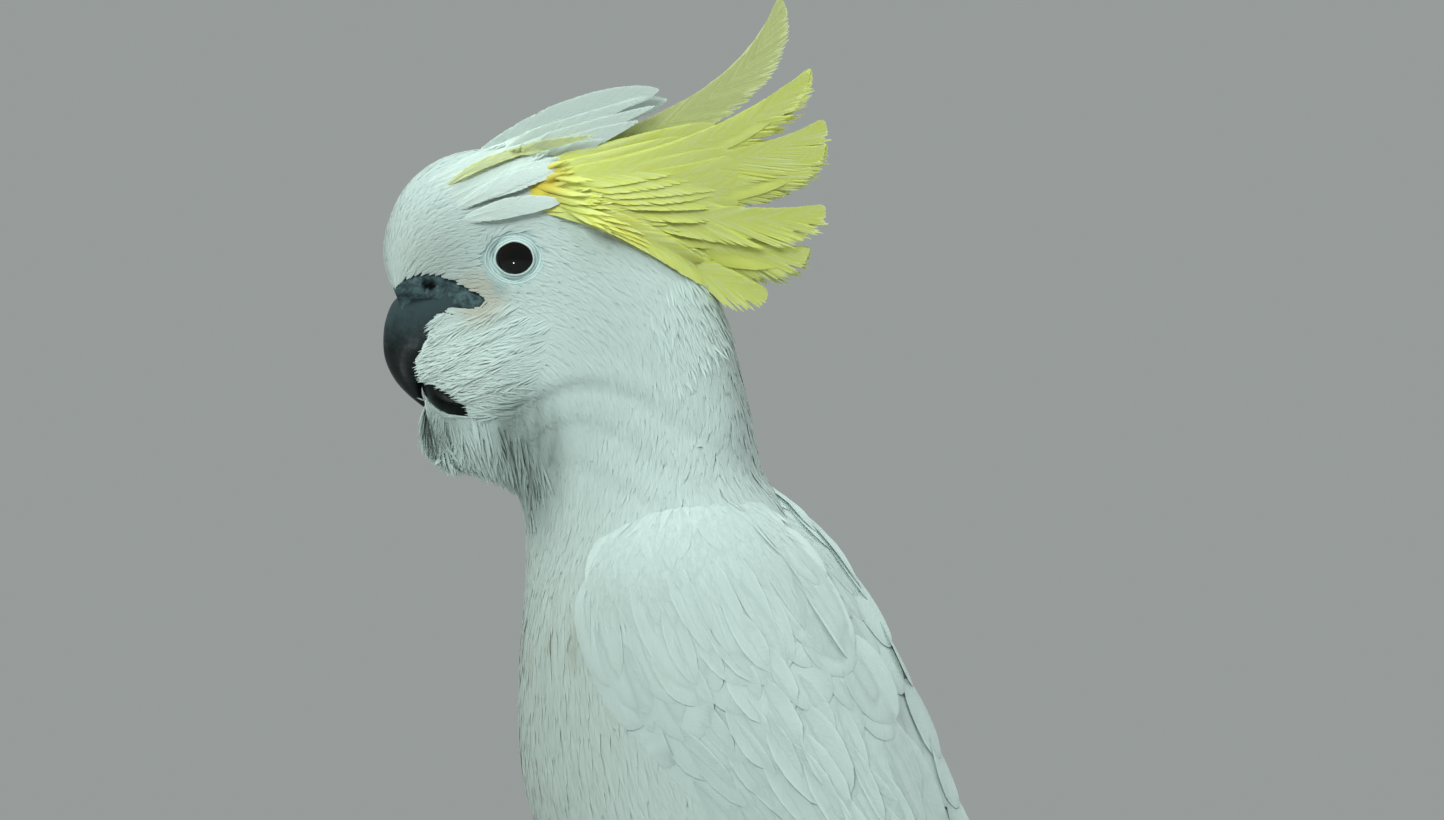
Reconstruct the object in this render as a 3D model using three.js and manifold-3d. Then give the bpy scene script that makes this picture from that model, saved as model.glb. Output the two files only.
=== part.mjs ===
// A life-size sulphur-crested cockatoo, perched upright on a short branch, on a plain display stand.
// Millimetres, +Z up. The bird faces -X, its left side is -Y, and the origin is the centre of the
// stand's underside. Heights in the bird's own tables are measured from the top of the branch.
import * as THREE from "three";
import { mergeVertices } from "three/addons/utils/BufferGeometryUtils.js";
import Module from "manifold-3d";

const wasm = await Module();
wasm.setup();

// ---------- driving dimensions ----------

const GAP = 0.3; // clearance between neighbouring pieces
const PERCH_TOP = 190; // height of the branch's top, and of the soles, over the floor
const HEAD_TURN = (18 * Math.PI) / 180; // the head is turned to the bird's left
const TURN_AXIS_X = -22; // the neck's axis, about which the head turns

// The feathered body from the bill's base (station 0) to the tail coverts, as its outline in the
// middle plane: the upper edge's x and height, the under edge's x and height, the half width, and
// how far the widest line leans from the middle towards the upper edge.
const BODY = [
  [-106.5, 299.0, -98.0, 261.0, 10.8, 0.3], // ring around the bill
  [-111.8, 305.0, -97.5, 253.0, 12.5, 0.3], // forehead over the bill, chin
  [-113.0, 318.0, -95.0, 246.5, 14.5, 0.25],
  [-106.0, 336.0, -90.0, 241.0, 18.0, 0.1],
  [-92.0, 347.5, -83.0, 237.5, 21.8, 0.0], // crown, lore and cheek
  [-72.0, 351.0, -75.0, 234.0, 25.5, -0.08],
  [-47.0, 345.5, -67.5, 229.5, 27.8, -0.14],
  [-22.0, 332.0, -63.5, 223.0, 29.0, -0.14], // back of the head, throat
  [0.0, 311.0, -61.5, 214.0, 30.0, -0.12],
  [13.0, 285.0, -60.8, 203.0, 31.5, -0.08],
  [20.5, 257.0, -61.0, 190.0, 34.0, -0.04], // neck
  [25.5, 234.0, -61.8, 176.0, 39.0, 0.0],
  [38.5, 214.0, -62.5, 161.0, 45.5, 0.0], // shoulders, upper breast
  [55.5, 192.0, -62.6, 144.0, 50.0, 0.0],
  [70.5, 164.0, -61.5, 126.5, 52.5, 0.0],
  [83.5, 134.0, -57.5, 108.5, 53.0, 0.0], // breast
  [95.5, 104.0, -49.0, 90.0, 51.5, 0.0],
  [105.0, 75.0, -35.0, 72.0, 48.0, 0.0], // belly
  [113.5, 47.0, -14.0, 56.0, 42.5, 0.0],
  [122.5, 20.0, 14.0, 42.0, 36.0, 0.0],
  [131.0, -6.0, 50.0, 25.0, 28.0, 0.0], // rump, vent
  [140.0, -30.0, 86.0, 0.0, 21.0, 0.0],
  [149.0, -52.0, 117.0, -32.0, 16.0, 0.0], // tail coverts, upper and under
  [157.0, -72.0, 140.0, -64.0, 11.5, 0.0],
];
const HEAD_END = 8.2; // the station where the head ends and the neck begins
const NECK_END = 11.3;
const THIN_CUT = 0.045; // in stations: the thin cut between head, neck and trunk
const TURN_FROM = 6.5; // the turn of the head fades out between these stations
const TURN_TO = 11.6;
const BODY_SIDES = 24;
const HEAD_STEP = 0.5;
const TRUNK_STEP = 1;

// Swellings and hollows of the head's sides, as Gaussians over station and angle: how far each
// stands out sideways.
const FACE = [
  { station: 3.6, stationSpan: 1.9, angle: 2.15, angleSpan: 0.42, out: 4.4 }, // loose cheek feathers
  { station: 4.3, stationSpan: 1.55, angle: 1.54, angleSpan: 0.36, out: -10.5 }, // lore, by the bill
  { station: 4.2, stationSpan: 1.4, angle: 0.8, angleSpan: 0.35, out: 1.5 }, // brow
];
const BILL_SEAT = { back: 5.5, span: 1.5 }; // the face's sides are set back around the bill's root
const ROUNDNESS = 0.8; // below 1 the sections are fuller than ellipses

// Openings in the head's feathers, as outlines in the middle plane (x, height).
const CERE_OUTLINE = [
  [-118, 279], [-118, 299], [-108.4, 299.3], [-105.9, 302.6], [-100.4, 304.4], [-93.1, 304.8],
  [-85.8, 301.5], [-78.5, 297.1], [-73.7, 294.2], [-80.3, 292.4], [-88.7, 292.7], [-93.1, 290.5],
  [-96.4, 286.5], [-97.5, 279],
];
const GAPE_OUTLINE = [
  [-104, 270], [-98, 268.5], [-94.5, 263], [-89, 258.6], [-82, 255.8], [-83, 253.2], [-90, 254.6],
  [-96, 258.4], [-104, 262],
];
const OPENING_WIDTH = 70;
const CERE_SINK = 0.8; // the bare cere lies this far under the feathers' surface

// The folded wing as stations along it: its under edge (x, y, height), its upper edge, how far it
// arches out between them, and its thickness.
const WING = [
  [-9.0, 37.0, 220.0, 22.0, 20.0, 229.5, 5.0, 5.0], // shoulder
  [-21.0, 41.5, 206.0, 36.5, 17.0, 218.5, 12.0, 8.0],
  [-26.0, 44.5, 185.0, 52.0, 14.5, 201.0, 17.5, 9.5], // bend of the wing
  [-17.0, 48.5, 155.0, 71.0, 12.0, 172.0, 21.0, 10.0],
  [0.0, 50.5, 131.0, 84.5, 10.5, 143.0, 21.0, 10.0],
  [20.0, 50.0, 110.0, 96.0, 9.5, 114.0, 19.5, 9.0],
  [42.5, 47.5, 83.0, 107.5, 9.0, 84.0, 17.0, 7.5],
  [67.5, 42.0, 49.0, 119.0, 8.5, 49.0, 13.5, 6.0],
  [92.0, 35.0, 13.0, 131.0, 8.0, 12.0, 10.0, 4.8], // end of the coverts
  [114.0, 27.5, -26.0, 144.5, 7.5, -26.0, 7.0, 3.8],
  [137.0, 21.0, -64.0, 157.0, 7.0, -62.0, 4.0, 3.0],
  [164.0, 15.0, -96.0, 171.0, 8.0, -96.0, 1.0, 2.0], // wing tip
];
const WING_COVERTS_END = 6.6; // the station where the long flight feathers show alone
const WING_STEP = 1;
const WING_END_CUT = 0.03; // in stations: the clearance past the wing's two ends
const WING_STEPS = 7; // bands across the wing
const WING_EDGE = 0.3; // an edge's share of the full thickness

const TAIL = {
  root: [112, 34], // x and height where the tail feathers grow
  tip: [193.5, -154],
  rootHalfWidth: 13,
  tipHalfWidth: 31,
  rootThickness: 5.5,
  tipThickness: 1.6,
  arch: 3.5, // the middle stands this far behind the sides
  roundness: 9, // how far the middle feathers outreach the outer ones
};

const EYE = { x: -63.5, height: 311.3, out: 15.7, radius: 9 };

// Bill sections from root to tip: the outer edge's x and height, the inner edge's, and half width.
const UPPER_BILL = [
  [-103.0, 300.0, -82.0, 297.0, 10.8],
  [-109.3, 295.5, -88.5, 291.5, 10.8],
  [-112.4, 288.5, -92.5, 285.0, 10.3],
  [-113.3, 281.0, -95.6, 278.5, 9.3],
  [-112.5, 273.8, -97.7, 272.0, 7.9],
  [-109.2, 266.8, -98.9, 266.2, 6.0],
  [-104.4, 261.3, -99.2, 261.6, 3.6],
  [-98.6, 256.6, -97.8, 257.4, 0.8],
];
const LOWER_BILL = [
  [-72.0, 250.5, -71.0, 262.5, 9.0],
  [-81.0, 251.0, -77.5, 263.5, 10.0],
  [-89.0, 253.4, -83.0, 265.5, 10.4],
  [-95.2, 257.6, -88.5, 268.0, 10.0],
  [-98.8, 263.0, -93.0, 270.3, 8.6],
  [-99.8, 268.5, -96.8, 271.8, 5.8],
];
const BILL_SIDES = 12;

// Crest feathers: shaft as a cubic Bezier curve of (x, height) points, full width, and the layer
// that each lies in, counted out from the middle plane.
const CREST = [
  { name: "crest_white_left", shaft: [[-87, 341], [-66, 358], [-38, 369], [-12.5, 372.5]], width: 9, layer: -1.5 },
  { name: "crest_white_right", shaft: [[-84, 339], [-62, 354.5], [-35, 364.5], [-9.5, 369]], width: 9, layer: 0.5 },
  { name: "crest_yellow_1", shaft: [[-74, 338], [-28, 352], [26, 362], [34.5, 406]], width: 15.5, layer: -0.5 },
  { name: "crest_yellow_2", shaft: [[-70, 337], [-28, 345], [24, 352], [43, 380.5]], width: 12.5, layer: 1.5 },
  { name: "crest_yellow_3", shaft: [[-66, 335], [-24, 342], [28, 341], [47.8, 361]], width: 13, layer: -2.5 },
  { name: "crest_yellow_4", shaft: [[-62, 333], [-20, 338], [26, 333], [48.8, 353]], width: 13, layer: 2.5 },
  { name: "crest_yellow_5", shaft: [[-57, 331], [-18, 330], [24, 318], [48, 329.5]], width: 14, layer: -3.5 },
  { name: "crest_yellow_6", shaft: [[-53, 329], [-16, 324], [18, 306], [43, 314.5]], width: 14.5, layer: 3.5 },
  { name: "crest_yellow_7", shaft: [[-50, 328], [-20, 322], [8, 300], [27, 298]], width: 13, layer: -4.5 },
];
const WHITE_CREST_FEATHERS = 2;
const CREST_LAYER = 2.6; // spacing of the layers at the tips
const CREST_ROOT_SPREAD = 0.55; // the layers' share of that spacing at the crown
const CREST_SPREAD_FROM_X = -60;
const CREST_SPREAD_TO_X = 20;
const CREST_THICKNESS = 0.9;
const CREST_CLEARANCE = 0.6; // from the head's surface
const VANE_STEPS = 9;

const LEG = {
  footY: 23, // each foot's distance from the middle plane
  thighTop: [0, 27, 80],
  thighEnd: [11, 22.5, 22],
  thighTopRadius: 24,
  thighEndRadius: 8.5,
  ankle: [13, 22.5, 27.5],
  foot: [1.5, 23, 4.6],
  tarsusRadius: 4.2,
  padRadius: 5.0,
};

const PERCH = { radius: 16, halfLength: 92, sides: 18, endRadius: 15, sway: 1.6 };

// Each toe wraps round the branch: way (+1 forward, -1 back), the angle that it wraps through, how
// far it strays outwards along the branch, its root radius, and its claw's wrap.
const TOES = [
  { digit: 1, way: -1, wrap: 0.85, stray: -7.5, radius: 3.3, claw: 0.5 },
  { digit: 2, way: 1, wrap: 1.25, stray: -6.5, radius: 3.6, claw: 0.58 },
  { digit: 3, way: 1, wrap: 1.7, stray: 6.5, radius: 3.9, claw: 0.62 },
  { digit: 4, way: -1, wrap: 1.45, stray: 7.5, radius: 3.6, claw: 0.58 },
];
const TOE_START = 0.12; // radians from the top of the branch
const TOE_TAPER = 0.68;
const TOE_SIDES = 6;

const STAND = { baseRadius: 120, baseHeight: 18, edgeRound: 5, rodRadius: 5, collarRadius: 13, collarHeight: 7 };

const COLOURS = {
  plumage: [0xe9ece6, 0.85, 0],
  crest: [0xe8dc5a, 0.8, 0],
  bill: [0x25272b, 0.45, 0],
  cere: [0x4a5058, 0.7, 0],
  eye: [0x0c0a0b, 0.08, 0],
  feet: [0x5b5d60, 0.7, 0],
  claw: [0x2b2a2c, 0.4, 0],
  branch: [0x6d5a49, 0.9, 0],
  wood: [0x4b3323, 0.5, 0],
  steel: [0x9a9c9e, 0.35, 1],
};

// ---------- helpers ----------

const clamp = (v, low, high) => Math.min(Math.max(v, low), high);
const mix = (a, b, f) => a + (b - a) * f;

function smoothstep(low, high, v) {
  const f = clamp((v - low) / (high - low), 0, 1);
  return f * f * (3 - 2 * f);
}

// One column of a table of stations at station t, as a Catmull-Rom spline.
function along(table, column, t) {
  const i = clamp(Math.floor(t), 0, table.length - 2);
  const f = t - i;
  const at = (k) => table[clamp(k, 0, table.length - 1)][column];
  const [a, b, c, d] = [at(i - 1), at(i), at(i + 1), at(i + 2)];
  return b + 0.5 * f * (c - a + f * (2 * a - 5 * b + 4 * c - d + f * (3 * (b - c) + d - a)));
}

// Stations from one end to the other, both included, no further apart than step.
function stations(from, to, step) {
  const count = Math.max(1, Math.ceil((to - from) / step - 1e-9));
  return Array.from({ length: count + 1 }, (_, i) => mix(from, to, i / count));
}

// Both ends, and every multiple of the step between them.
function gridStations(from, to, step) {
  const [first, last] = [Math.floor(from / step) + 1, Math.ceil(to / step) - 1];
  const inner = Array.from({ length: Math.max(0, last - first + 1) }, (_, i) => (first + i) * step);
  return [from, ...inner, to];
}

// A closed surface over rings of points: bands between neighbours, and a fan over each end ring.
function loft(rings) {
  const sides = rings[0].length;
  const points = rings.flat();
  const faces = [];
  rings.slice(1).forEach((_, r) => {
    for (let k = 0; k < sides; k++) {
      const [a, b] = [r * sides + k, r * sides + ((k + 1) % sides)];
      faces.push(a, b, b + sides, a, b + sides, a + sides);
    }
  });
  const middle = (ring) => ring.reduce((s, p) => s.add(p), new THREE.Vector3()).divideScalar(sides);
  const [first, last] = [points.length, points.length + 1];
  const lastRing = (rings.length - 1) * sides;
  points.push(middle(rings[0]), middle(rings[rings.length - 1]));
  for (let k = 0; k < sides; k++) {
    const next = (k + 1) % sides;
    faces.push(first, next, k, last, lastRing + k, lastRing + next);
  }
  return new THREE.BufferGeometry().setFromPoints(points).setIndex(faces);
}

// A geometry as a manifold-3d solid, turned inside out if its faces point inwards.
function solid(geometry) {
  const bare = geometry.index ? geometry.toNonIndexed() : geometry.clone();
  bare.deleteAttribute("normal");
  bare.deleteAttribute("uv");
  const merged = mergeVertices(bare, 1e-3);
  const triVerts = new Uint32Array(merged.index.array);
  const build = () =>
    new wasm.Manifold(
      new wasm.Mesh({ numProp: 3, vertProperties: merged.attributes.position.array, triVerts }),
    );
  const made = build();
  if (made.volume() > 0) return made;
  for (let i = 0; i < triVerts.length; i += 3) {
    [triVerts[i + 1], triVerts[i + 2]] = [triVerts[i + 2], triVerts[i + 1]];
  }
  return build();
}

// A solid's largest body, because a cut can leave slivers beside it.
function mainBody(made) {
  return made.decompose().reduce((a, b) => (b.volume() > a.volume() ? b : a));
}

function geometryOf(made) {
  const mesh = made.getMesh();
  return new THREE.BufferGeometry()
    .setAttribute("position", new THREE.BufferAttribute(new Float32Array(mesh.vertProperties), 3))
    .setIndex(new THREE.BufferAttribute(new Uint32Array(mesh.triVerts), 1));
}

function mesh(name, shape, finish) {
  const [color, roughness, metalness] = COLOURS[finish];
  const geometry = shape.isBufferGeometry ? shape : geometryOf(mainBody(shape));
  const made = new THREE.Mesh(geometry, new THREE.MeshStandardMaterial({ color, roughness, metalness }));
  made.name = name;
  return made;
}

// A ring from one edge point in the middle plane to the other, as wide as told to either side; a
// lean moves its widest line towards the first edge.
function edgeRing(edgeA, edgeB, halfWidth, sides, lean = 0, power = 1) {
  const middle = edgeA.clone().add(edgeB).divideScalar(2);
  const half = edgeA.clone().sub(edgeB).divideScalar(2);
  return Array.from({ length: sides }, (_, k) => {
    const u = (2 * Math.PI * k) / sides;
    const sideways = Math.sign(Math.sin(u)) * Math.abs(Math.sin(u)) ** power;
    const wide = halfWidth * sideways * (1 + lean * Math.cos(u));
    return middle.clone().addScaledVector(half, Math.cos(u)).add(new THREE.Vector3(0, wide, 0));
  });
}

// A tube of changing radius along a curve, with round sections square to it.
function taperedTube(curve, radiusAt, steps, sides) {
  const rings = stations(0, 1, 1 / steps).map((f) => {
    const tangent = curve.getTangent(f);
    const side = new THREE.Vector3(0, 1, 0).addScaledVector(tangent, -tangent.y).normalize();
    const up = new THREE.Vector3().crossVectors(tangent, side);
    return Array.from({ length: sides }, (_, k) => {
      const u = (2 * Math.PI * k) / sides;
      return curve
        .getPoint(f)
        .addScaledVector(side, radiusAt(f) * Math.cos(u))
        .addScaledVector(up, radiusAt(f) * Math.sin(u));
    });
  });
  return loft(rings);
}

// ---------- the feathered body ----------

const turnAt = (t) => HEAD_TURN * (1 - smoothstep(TURN_FROM, TURN_TO, t));

// How far the head's side stands out at a station and an angle from the upper edge.
function faceRise(t, angle) {
  return FACE.reduce((sum, { station, stationSpan, angle: centre, angleSpan, out }) => {
    const away = ((t - station) / stationSpan) ** 2 + ((angle - centre) / angleSpan) ** 2;
    return sum + out * Math.exp(-away);
  }, 0);
}

// The body's ring at station t, grown outwards and turned about the neck's axis.
function bodyRing(t, grow, turn) {
  const [upX, upZ, lowX, lowZ, halfWidth, lean] = BODY[0].map((_, column) => along(BODY, column, t));
  const chord = new THREE.Vector3(upX - lowX, 0, upZ - lowZ).normalize();
  const up = new THREE.Vector3(upX, 0, upZ).addScaledVector(chord, grow);
  const low = new THREE.Vector3(lowX, 0, lowZ).addScaledVector(chord, -grow);
  const ring = edgeRing(up, low, halfWidth + grow, BODY_SIDES, lean, ROUNDNESS);
  const seat = BILL_SEAT.back * Math.exp(-((t / BILL_SEAT.span) ** 2));
  ring.forEach((p, k) => {
    const u = (2 * Math.PI * k) / BODY_SIDES;
    const sideways = Math.sin(u);
    const angle = Math.min(u, 2 * Math.PI - u);
    p.y += Math.sign(sideways) * faceRise(t, angle) * Math.min(1, 3 * Math.abs(sideways));
    p.x += seat * sideways ** 2 - TURN_AXIS_X;
    p.applyAxisAngle(new THREE.Vector3(0, 0, 1), turn);
    p.x += TURN_AXIS_X;
  });
  return ring;
}

function bodyLength(from, to, step, grow, baseTurn) {
  const rings = gridStations(from, to, step).map((t) => bodyRing(t, grow, turnAt(t) - baseTurn));
  return solid(loft(rings));
}

// ---------- wings and tail ----------

// The wing's middle surface at station s and share q from the under edge to the upper edge.
function wingPoint(s, q, side) {
  const v = WING[0].map((_, column) => along(WING, column, s));
  const low = new THREE.Vector3(v[0], side * v[1], v[2]);
  const up = new THREE.Vector3(v[3], side * v[4], v[5]);
  const ahead = WING[0].map((_, column) => along(WING, column, s + 0.05));
  const way = new THREE.Vector3(ahead[0] + ahead[3] - v[0] - v[3], 0, ahead[2] + ahead[5] - v[2] - v[5]);
  const out = new THREE.Vector3().crossVectors(up.clone().sub(low), way).normalize();
  if (out.y * side < 0) out.negate();
  const chord = up.clone().sub(low).normalize();
  const point = low.lerp(up, q).addScaledVector(out, v[6] * 4 * q * (1 - q));
  return { point, out, chord, thickness: v[7] };
}

// The wing as a shell between its outer face and its inner face, thinner at both edges.
function wing(side, from, to, grow) {
  const rings = gridStations(from, to, WING_STEP).map((s) => {
    const shares = stations(0, 1, 1 / WING_STEPS);
    const face = (which) =>
      shares.map((q) => {
        const { point, out, chord, thickness } = wingPoint(s, q, side);
        const bulk = mix(WING_EDGE, 1, Math.sqrt(Math.sin(Math.PI * clamp(q, 0, 1))));
        point.addScaledVector(chord, (2 * q - 1) * grow);
        return point.addScaledVector(out, which * ((thickness * bulk) / 2 + grow));
      });
    const inner = face(-1).reverse();
    return [...face(1), ...inner];
  });
  return solid(loft(rings));
}

// The tail as one closed fan of feathers: an arched blade with a softly rounded end.
function tail(grow) {
  const [rootX, rootZ] = TAIL.root;
  const [tipX, tipZ] = TAIL.tip;
  const way = new THREE.Vector3(tipX - rootX, 0, tipZ - rootZ);
  const back = new THREE.Vector3(-way.z, 0, way.x).normalize();
  const across = stations(-1, 1, 1 / 4);
  const rings = stations(0, 1, 1 / 6).map((f) => {
    const halfWidth = mix(TAIL.rootHalfWidth, TAIL.tipHalfWidth, Math.sqrt(f)) + grow;
    const half = mix(TAIL.rootThickness, TAIL.tipThickness, f) / 2 + grow;
    const face = (which) =>
      across.map((q) => {
        const shorter = (TAIL.roundness * f * q * q) / way.length();
        const edge = which * half * mix(1, 0.35, q ** 4) - TAIL.arch * q * q;
        return new THREE.Vector3(rootX, q * halfWidth, rootZ)
          .addScaledVector(way, f - shorter)
          .addScaledVector(back, edge);
      });
    return [...face(1), ...face(-1).reverse()];
  });
  return solid(loft(rings));
}

// ---------- crest ----------

// A vane: a thin lens along its shaft, widest past the middle and rounded at the tip.
function crestFeather({ shaft, width, layer }) {
  const [a, b, c, d] = shaft.map(([x, z]) => new THREE.Vector3(x, 0, z));
  const curve = new THREE.CubicBezierCurve3(a, b, c, d);
  const rings = stations(0, 1, 1 / VANE_STEPS).map((f) => {
    const eased = f * (2 - f) * 0.5 + f * 0.5; // stations crowd towards the tip
    const tangent = curve.getTangent(eased);
    const across = new THREE.Vector3(-tangent.z, 0, tangent.x);
    const half = (width / 2) * Math.min(0.3 + 1.6 * eased, Math.sqrt(1.02 - eased ** 6), 1);
    const centre = curve.getPoint(eased);
    const spread = smoothstep(CREST_SPREAD_FROM_X, CREST_SPREAD_TO_X, centre.x);
    centre.y = layer * CREST_LAYER * mix(CREST_ROOT_SPREAD, 1, spread);
    const thick = new THREE.Vector3(0, CREST_THICKNESS / 2, 0);
    return [
      centre.clone().addScaledVector(across, half),
      centre.clone().addScaledVector(across, half * 0.5).add(thick),
      centre.clone().addScaledVector(across, -half * 0.5).add(thick),
      centre.clone().addScaledVector(across, -half),
      centre.clone().addScaledVector(across, -half * 0.5).sub(thick),
      centre.clone().addScaledVector(across, half * 0.5).sub(thick),
    ];
  });
  return solid(loft(rings));
}

// ---------- bill and eyes ----------

function billPart(sections, grow = 0) {
  const rings = stations(0, sections.length - 1, 1).map((t) => {
    const [outX, outZ, inX, inZ, halfWidth] = [0, 1, 2, 3, 4].map((column) => along(sections, column, t));
    const chord = new THREE.Vector3(outX - inX, 0, outZ - inZ).normalize();
    return edgeRing(
      new THREE.Vector3(outX, 0, outZ).addScaledVector(chord, grow),
      new THREE.Vector3(inX, 0, inZ).addScaledVector(chord, -grow),
      halfWidth + grow,
      BILL_SIDES,
    );
  });
  return solid(loft(rings));
}

// A slab of the given outline in the middle plane, through the whole head, grown all round.
function openingSlab(outline, grow) {
  const corners = outline.map(([x, z]) => new THREE.Vector2(x, z));
  const grown = corners.map((corner, i) => {
    const before = corners.at(i - 1).clone().sub(corner).normalize();
    const after = corners[(i + 1) % corners.length].clone().sub(corner).normalize();
    const along = after.sub(before).normalize();
    return corner.clone().add(new THREE.Vector2(-along.y, along.x).multiplyScalar(grow));
  });
  const slab = new THREE.ExtrudeGeometry(new THREE.Shape(grown), { depth: OPENING_WIDTH, bevelEnabled: false });
  return solid(slab.rotateX(Math.PI / 2).translate(0, OPENING_WIDTH / 2, 0));
}

function eyeball(side, grow) {
  const ball = new THREE.SphereGeometry(EYE.radius + grow, 14, 8);
  ball.rotateX(Math.PI / 2);
  return solid(ball.translate(EYE.x, side * EYE.out, EYE.height));
}

// ---------- legs and feet ----------

const sided = ([x, y, z], side) => new THREE.Vector3(x, side * y, z);

function thigh(side, grow) {
  const curve = new THREE.LineCurve3(sided(LEG.thighTop, side), sided(LEG.thighEnd, side));
  const radiusAt = (f) => mix(LEG.thighTopRadius, LEG.thighEndRadius, f ** 0.8) + grow;
  return solid(taperedTube(curve, radiusAt, 4, 14));
}

// The scaly shank down to the pad where the toes meet.
function shank(side, grow) {
  const curve = new THREE.LineCurve3(sided(LEG.ankle, side), sided(LEG.foot, side));
  const bar = solid(taperedTube(curve, () => LEG.tarsusRadius + grow, 2, 10));
  const pad = new THREE.SphereGeometry(LEG.padRadius + grow, 10, 6).scale(1.15, 1, 0.85);
  return bar.add(solid(pad.translate(...sided(LEG.foot, side).toArray())));
}

// A point over the branch at an angle from its top, forwards for way +1, and at a given radius.
const overPerch = (angle, way, radius, y) =>
  new THREE.Vector3(-way * radius * Math.sin(angle), y, radius * Math.cos(angle) - PERCH.radius);

function toeCurve(toe, side, from, to, radiusAt) {
  const points = stations(0, 1, 1 / 8).map((f) => {
    const angle = mix(from, to, f);
    const beside = Math.sign(toe.stray) * (toe.radius * 1.07 + GAP / 2);
    const y = side * (LEG.footY + mix(beside, toe.stray, angle / toe.wrap));
    return overPerch(angle, toe.way, radiusAt(f), y);
  });
  return new THREE.CatmullRomCurve3(points);
}

function toe(digit, side) {
  const radiusAt = (f) => digit.radius * mix(1, TOE_TAPER, f) * (1 + 0.07 * Math.cos(3 * 2 * Math.PI * f));
  const rest = (f) => PERCH.radius + digit.radius * mix(1, TOE_TAPER, f) * 1.07 + GAP;
  return solid(taperedTube(toeCurve(digit, side, TOE_START, digit.wrap, rest), radiusAt, 6, TOE_SIDES));
}

function claw(digit, side) {
  const root = digit.radius * TOE_TAPER;
  const radiusAt = (f) => mix(root * 0.82, 0.35, f);
  const from = digit.wrap + GAP / PERCH.radius + 0.01;
  const rest = (f) => PERCH.radius + GAP + mix(root * 1.15, 0.5, f) + 1.2 * Math.sin(Math.PI * f);
  return solid(taperedTube(toeCurve(digit, side, from, from + digit.claw, rest), radiusAt, 4, TOE_SIDES));
}

// ---------- branch and stand ----------

// A cut length of branch: straight and round under the feet, slightly swollen and swayed beyond.
function perch() {
  const rings = stations(-1, 1, 1 / 5).map((f) => {
    const y = f * PERCH.halfLength;
    const outside = smoothstep(0.45, 1, Math.abs(f));
    const radius = mix(PERCH.radius, PERCH.endRadius, outside) * (1 + 0.02 * outside * Math.sin(9 * f));
    const shiftX = PERCH.sway * outside * Math.sin(2.2 * f);
    return Array.from({ length: PERCH.sides }, (_, k) => {
      const u = (2 * Math.PI * k) / PERCH.sides;
      const lowered = -PERCH.radius - 0.8 * outside;
      return new THREE.Vector3(shiftX + radius * Math.cos(u), y, lowered + radius * Math.sin(u));
    });
  });
  return solid(loft(rings));
}

function standBase() {
  const { baseRadius: r, baseHeight: h, edgeRound: e } = STAND;
  const round = stations(0, Math.PI / 2, Math.PI / 4).map(
    (a) => new THREE.Vector2(r - e + e * Math.cos(a), h - e + e * Math.sin(a)),
  );
  const profile = [new THREE.Vector2(0, 0), new THREE.Vector2(r - 2, 0), new THREE.Vector2(r, 2), ...round];
  return new THREE.LatheGeometry([...profile, new THREE.Vector2(0, h)], 36).rotateX(Math.PI / 2);
}

// A turned ring, open through its middle for the rod.
function standCollar() {
  const { collarRadius: r, collarHeight: h, rodRadius } = STAND;
  const inner = rodRadius + GAP;
  const corners = [[inner, 0], [r, 0], [r, h * 0.5], [r * 0.72, h], [inner, h], [inner, 0]];
  const profile = corners.map(([x, y]) => new THREE.Vector2(x, y));
  return new THREE.LatheGeometry(profile, 16).rotateX(Math.PI / 2);
}

function standRod(length) {
  return new THREE.CylinderGeometry(STAND.rodRadius, STAND.rodRadius, length, 16).rotateX(Math.PI / 2);
}

// ---------- assembly ----------

const SIDES = [
  ["left", -1],
  ["right", 1],
];

// The head's own pieces, built facing -X and turned together about the neck's axis.
function headPieces() {
  const upperBill = billPart(UPPER_BILL);
  const upperBillRoom = billPart(UPPER_BILL, GAP);
  const lowerBill = billPart(LOWER_BILL).subtract(upperBillRoom);
  const under = bodyLength(0, HEAD_END, HEAD_STEP, -CERE_SINK, HEAD_TURN);
  const cere = under.intersect(openingSlab(CERE_OUTLINE, -GAP)).subtract(upperBillRoom);
  const shell = bodyLength(0, NECK_END, HEAD_STEP, CREST_CLEARANCE, HEAD_TURN);
  const rooms = [
    openingSlab(CERE_OUTLINE, 0),
    openingSlab(GAPE_OUTLINE, 0),
    upperBillRoom,
    billPart(LOWER_BILL, GAP),
    ...SIDES.map(([, side]) => eyeball(side, GAP)),
  ];
  const full = bodyLength(0, HEAD_END, HEAD_STEP, 0, HEAD_TURN);
  const head = rooms.reduce((left, room) => left.subtract(room), full);
  return [
    mesh("head", head, "plumage"),
    mesh("bill_upper", upperBill, "bill"),
    mesh("bill_lower", lowerBill, "bill"),
    mesh("cere", cere, "cere"),
    ...SIDES.map(([name, side]) => mesh(`eye_${name}`, eyeball(side, 0), "eye")),
    ...CREST.map((feather, i) => {
      const finish = i < WHITE_CREST_FEATHERS ? "plumage" : "crest";
      return mesh(feather.name, crestFeather(feather).subtract(shell), finish);
    }),
  ];
}

function legPieces([name, side]) {
  const pad = shank(side, GAP);
  return [
    mesh(`thigh_${name}`, thigh(side, 0).subtract(pad), "plumage"),
    mesh(`foot_${name}`, shank(side, 0), "feet"),
    ...TOES.flatMap((digit) => [
      mesh(`toe_${digit.digit}_${name}`, toe(digit, side).subtract(pad), "feet"),
      mesh(`claw_${digit.digit}_${name}`, claw(digit, side), "claw"),
    ]),
  ];
}

function wingPieces([name, side]) {
  const last = WING.length - 1;
  return [
    mesh(`wing_coverts_${name}`, wing(side, 0, WING_COVERTS_END - 0.01, 0), "plumage"),
    mesh(`wing_flight_${name}`, wing(side, WING_COVERTS_END, last, 0), "plumage"),
  ];
}

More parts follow.
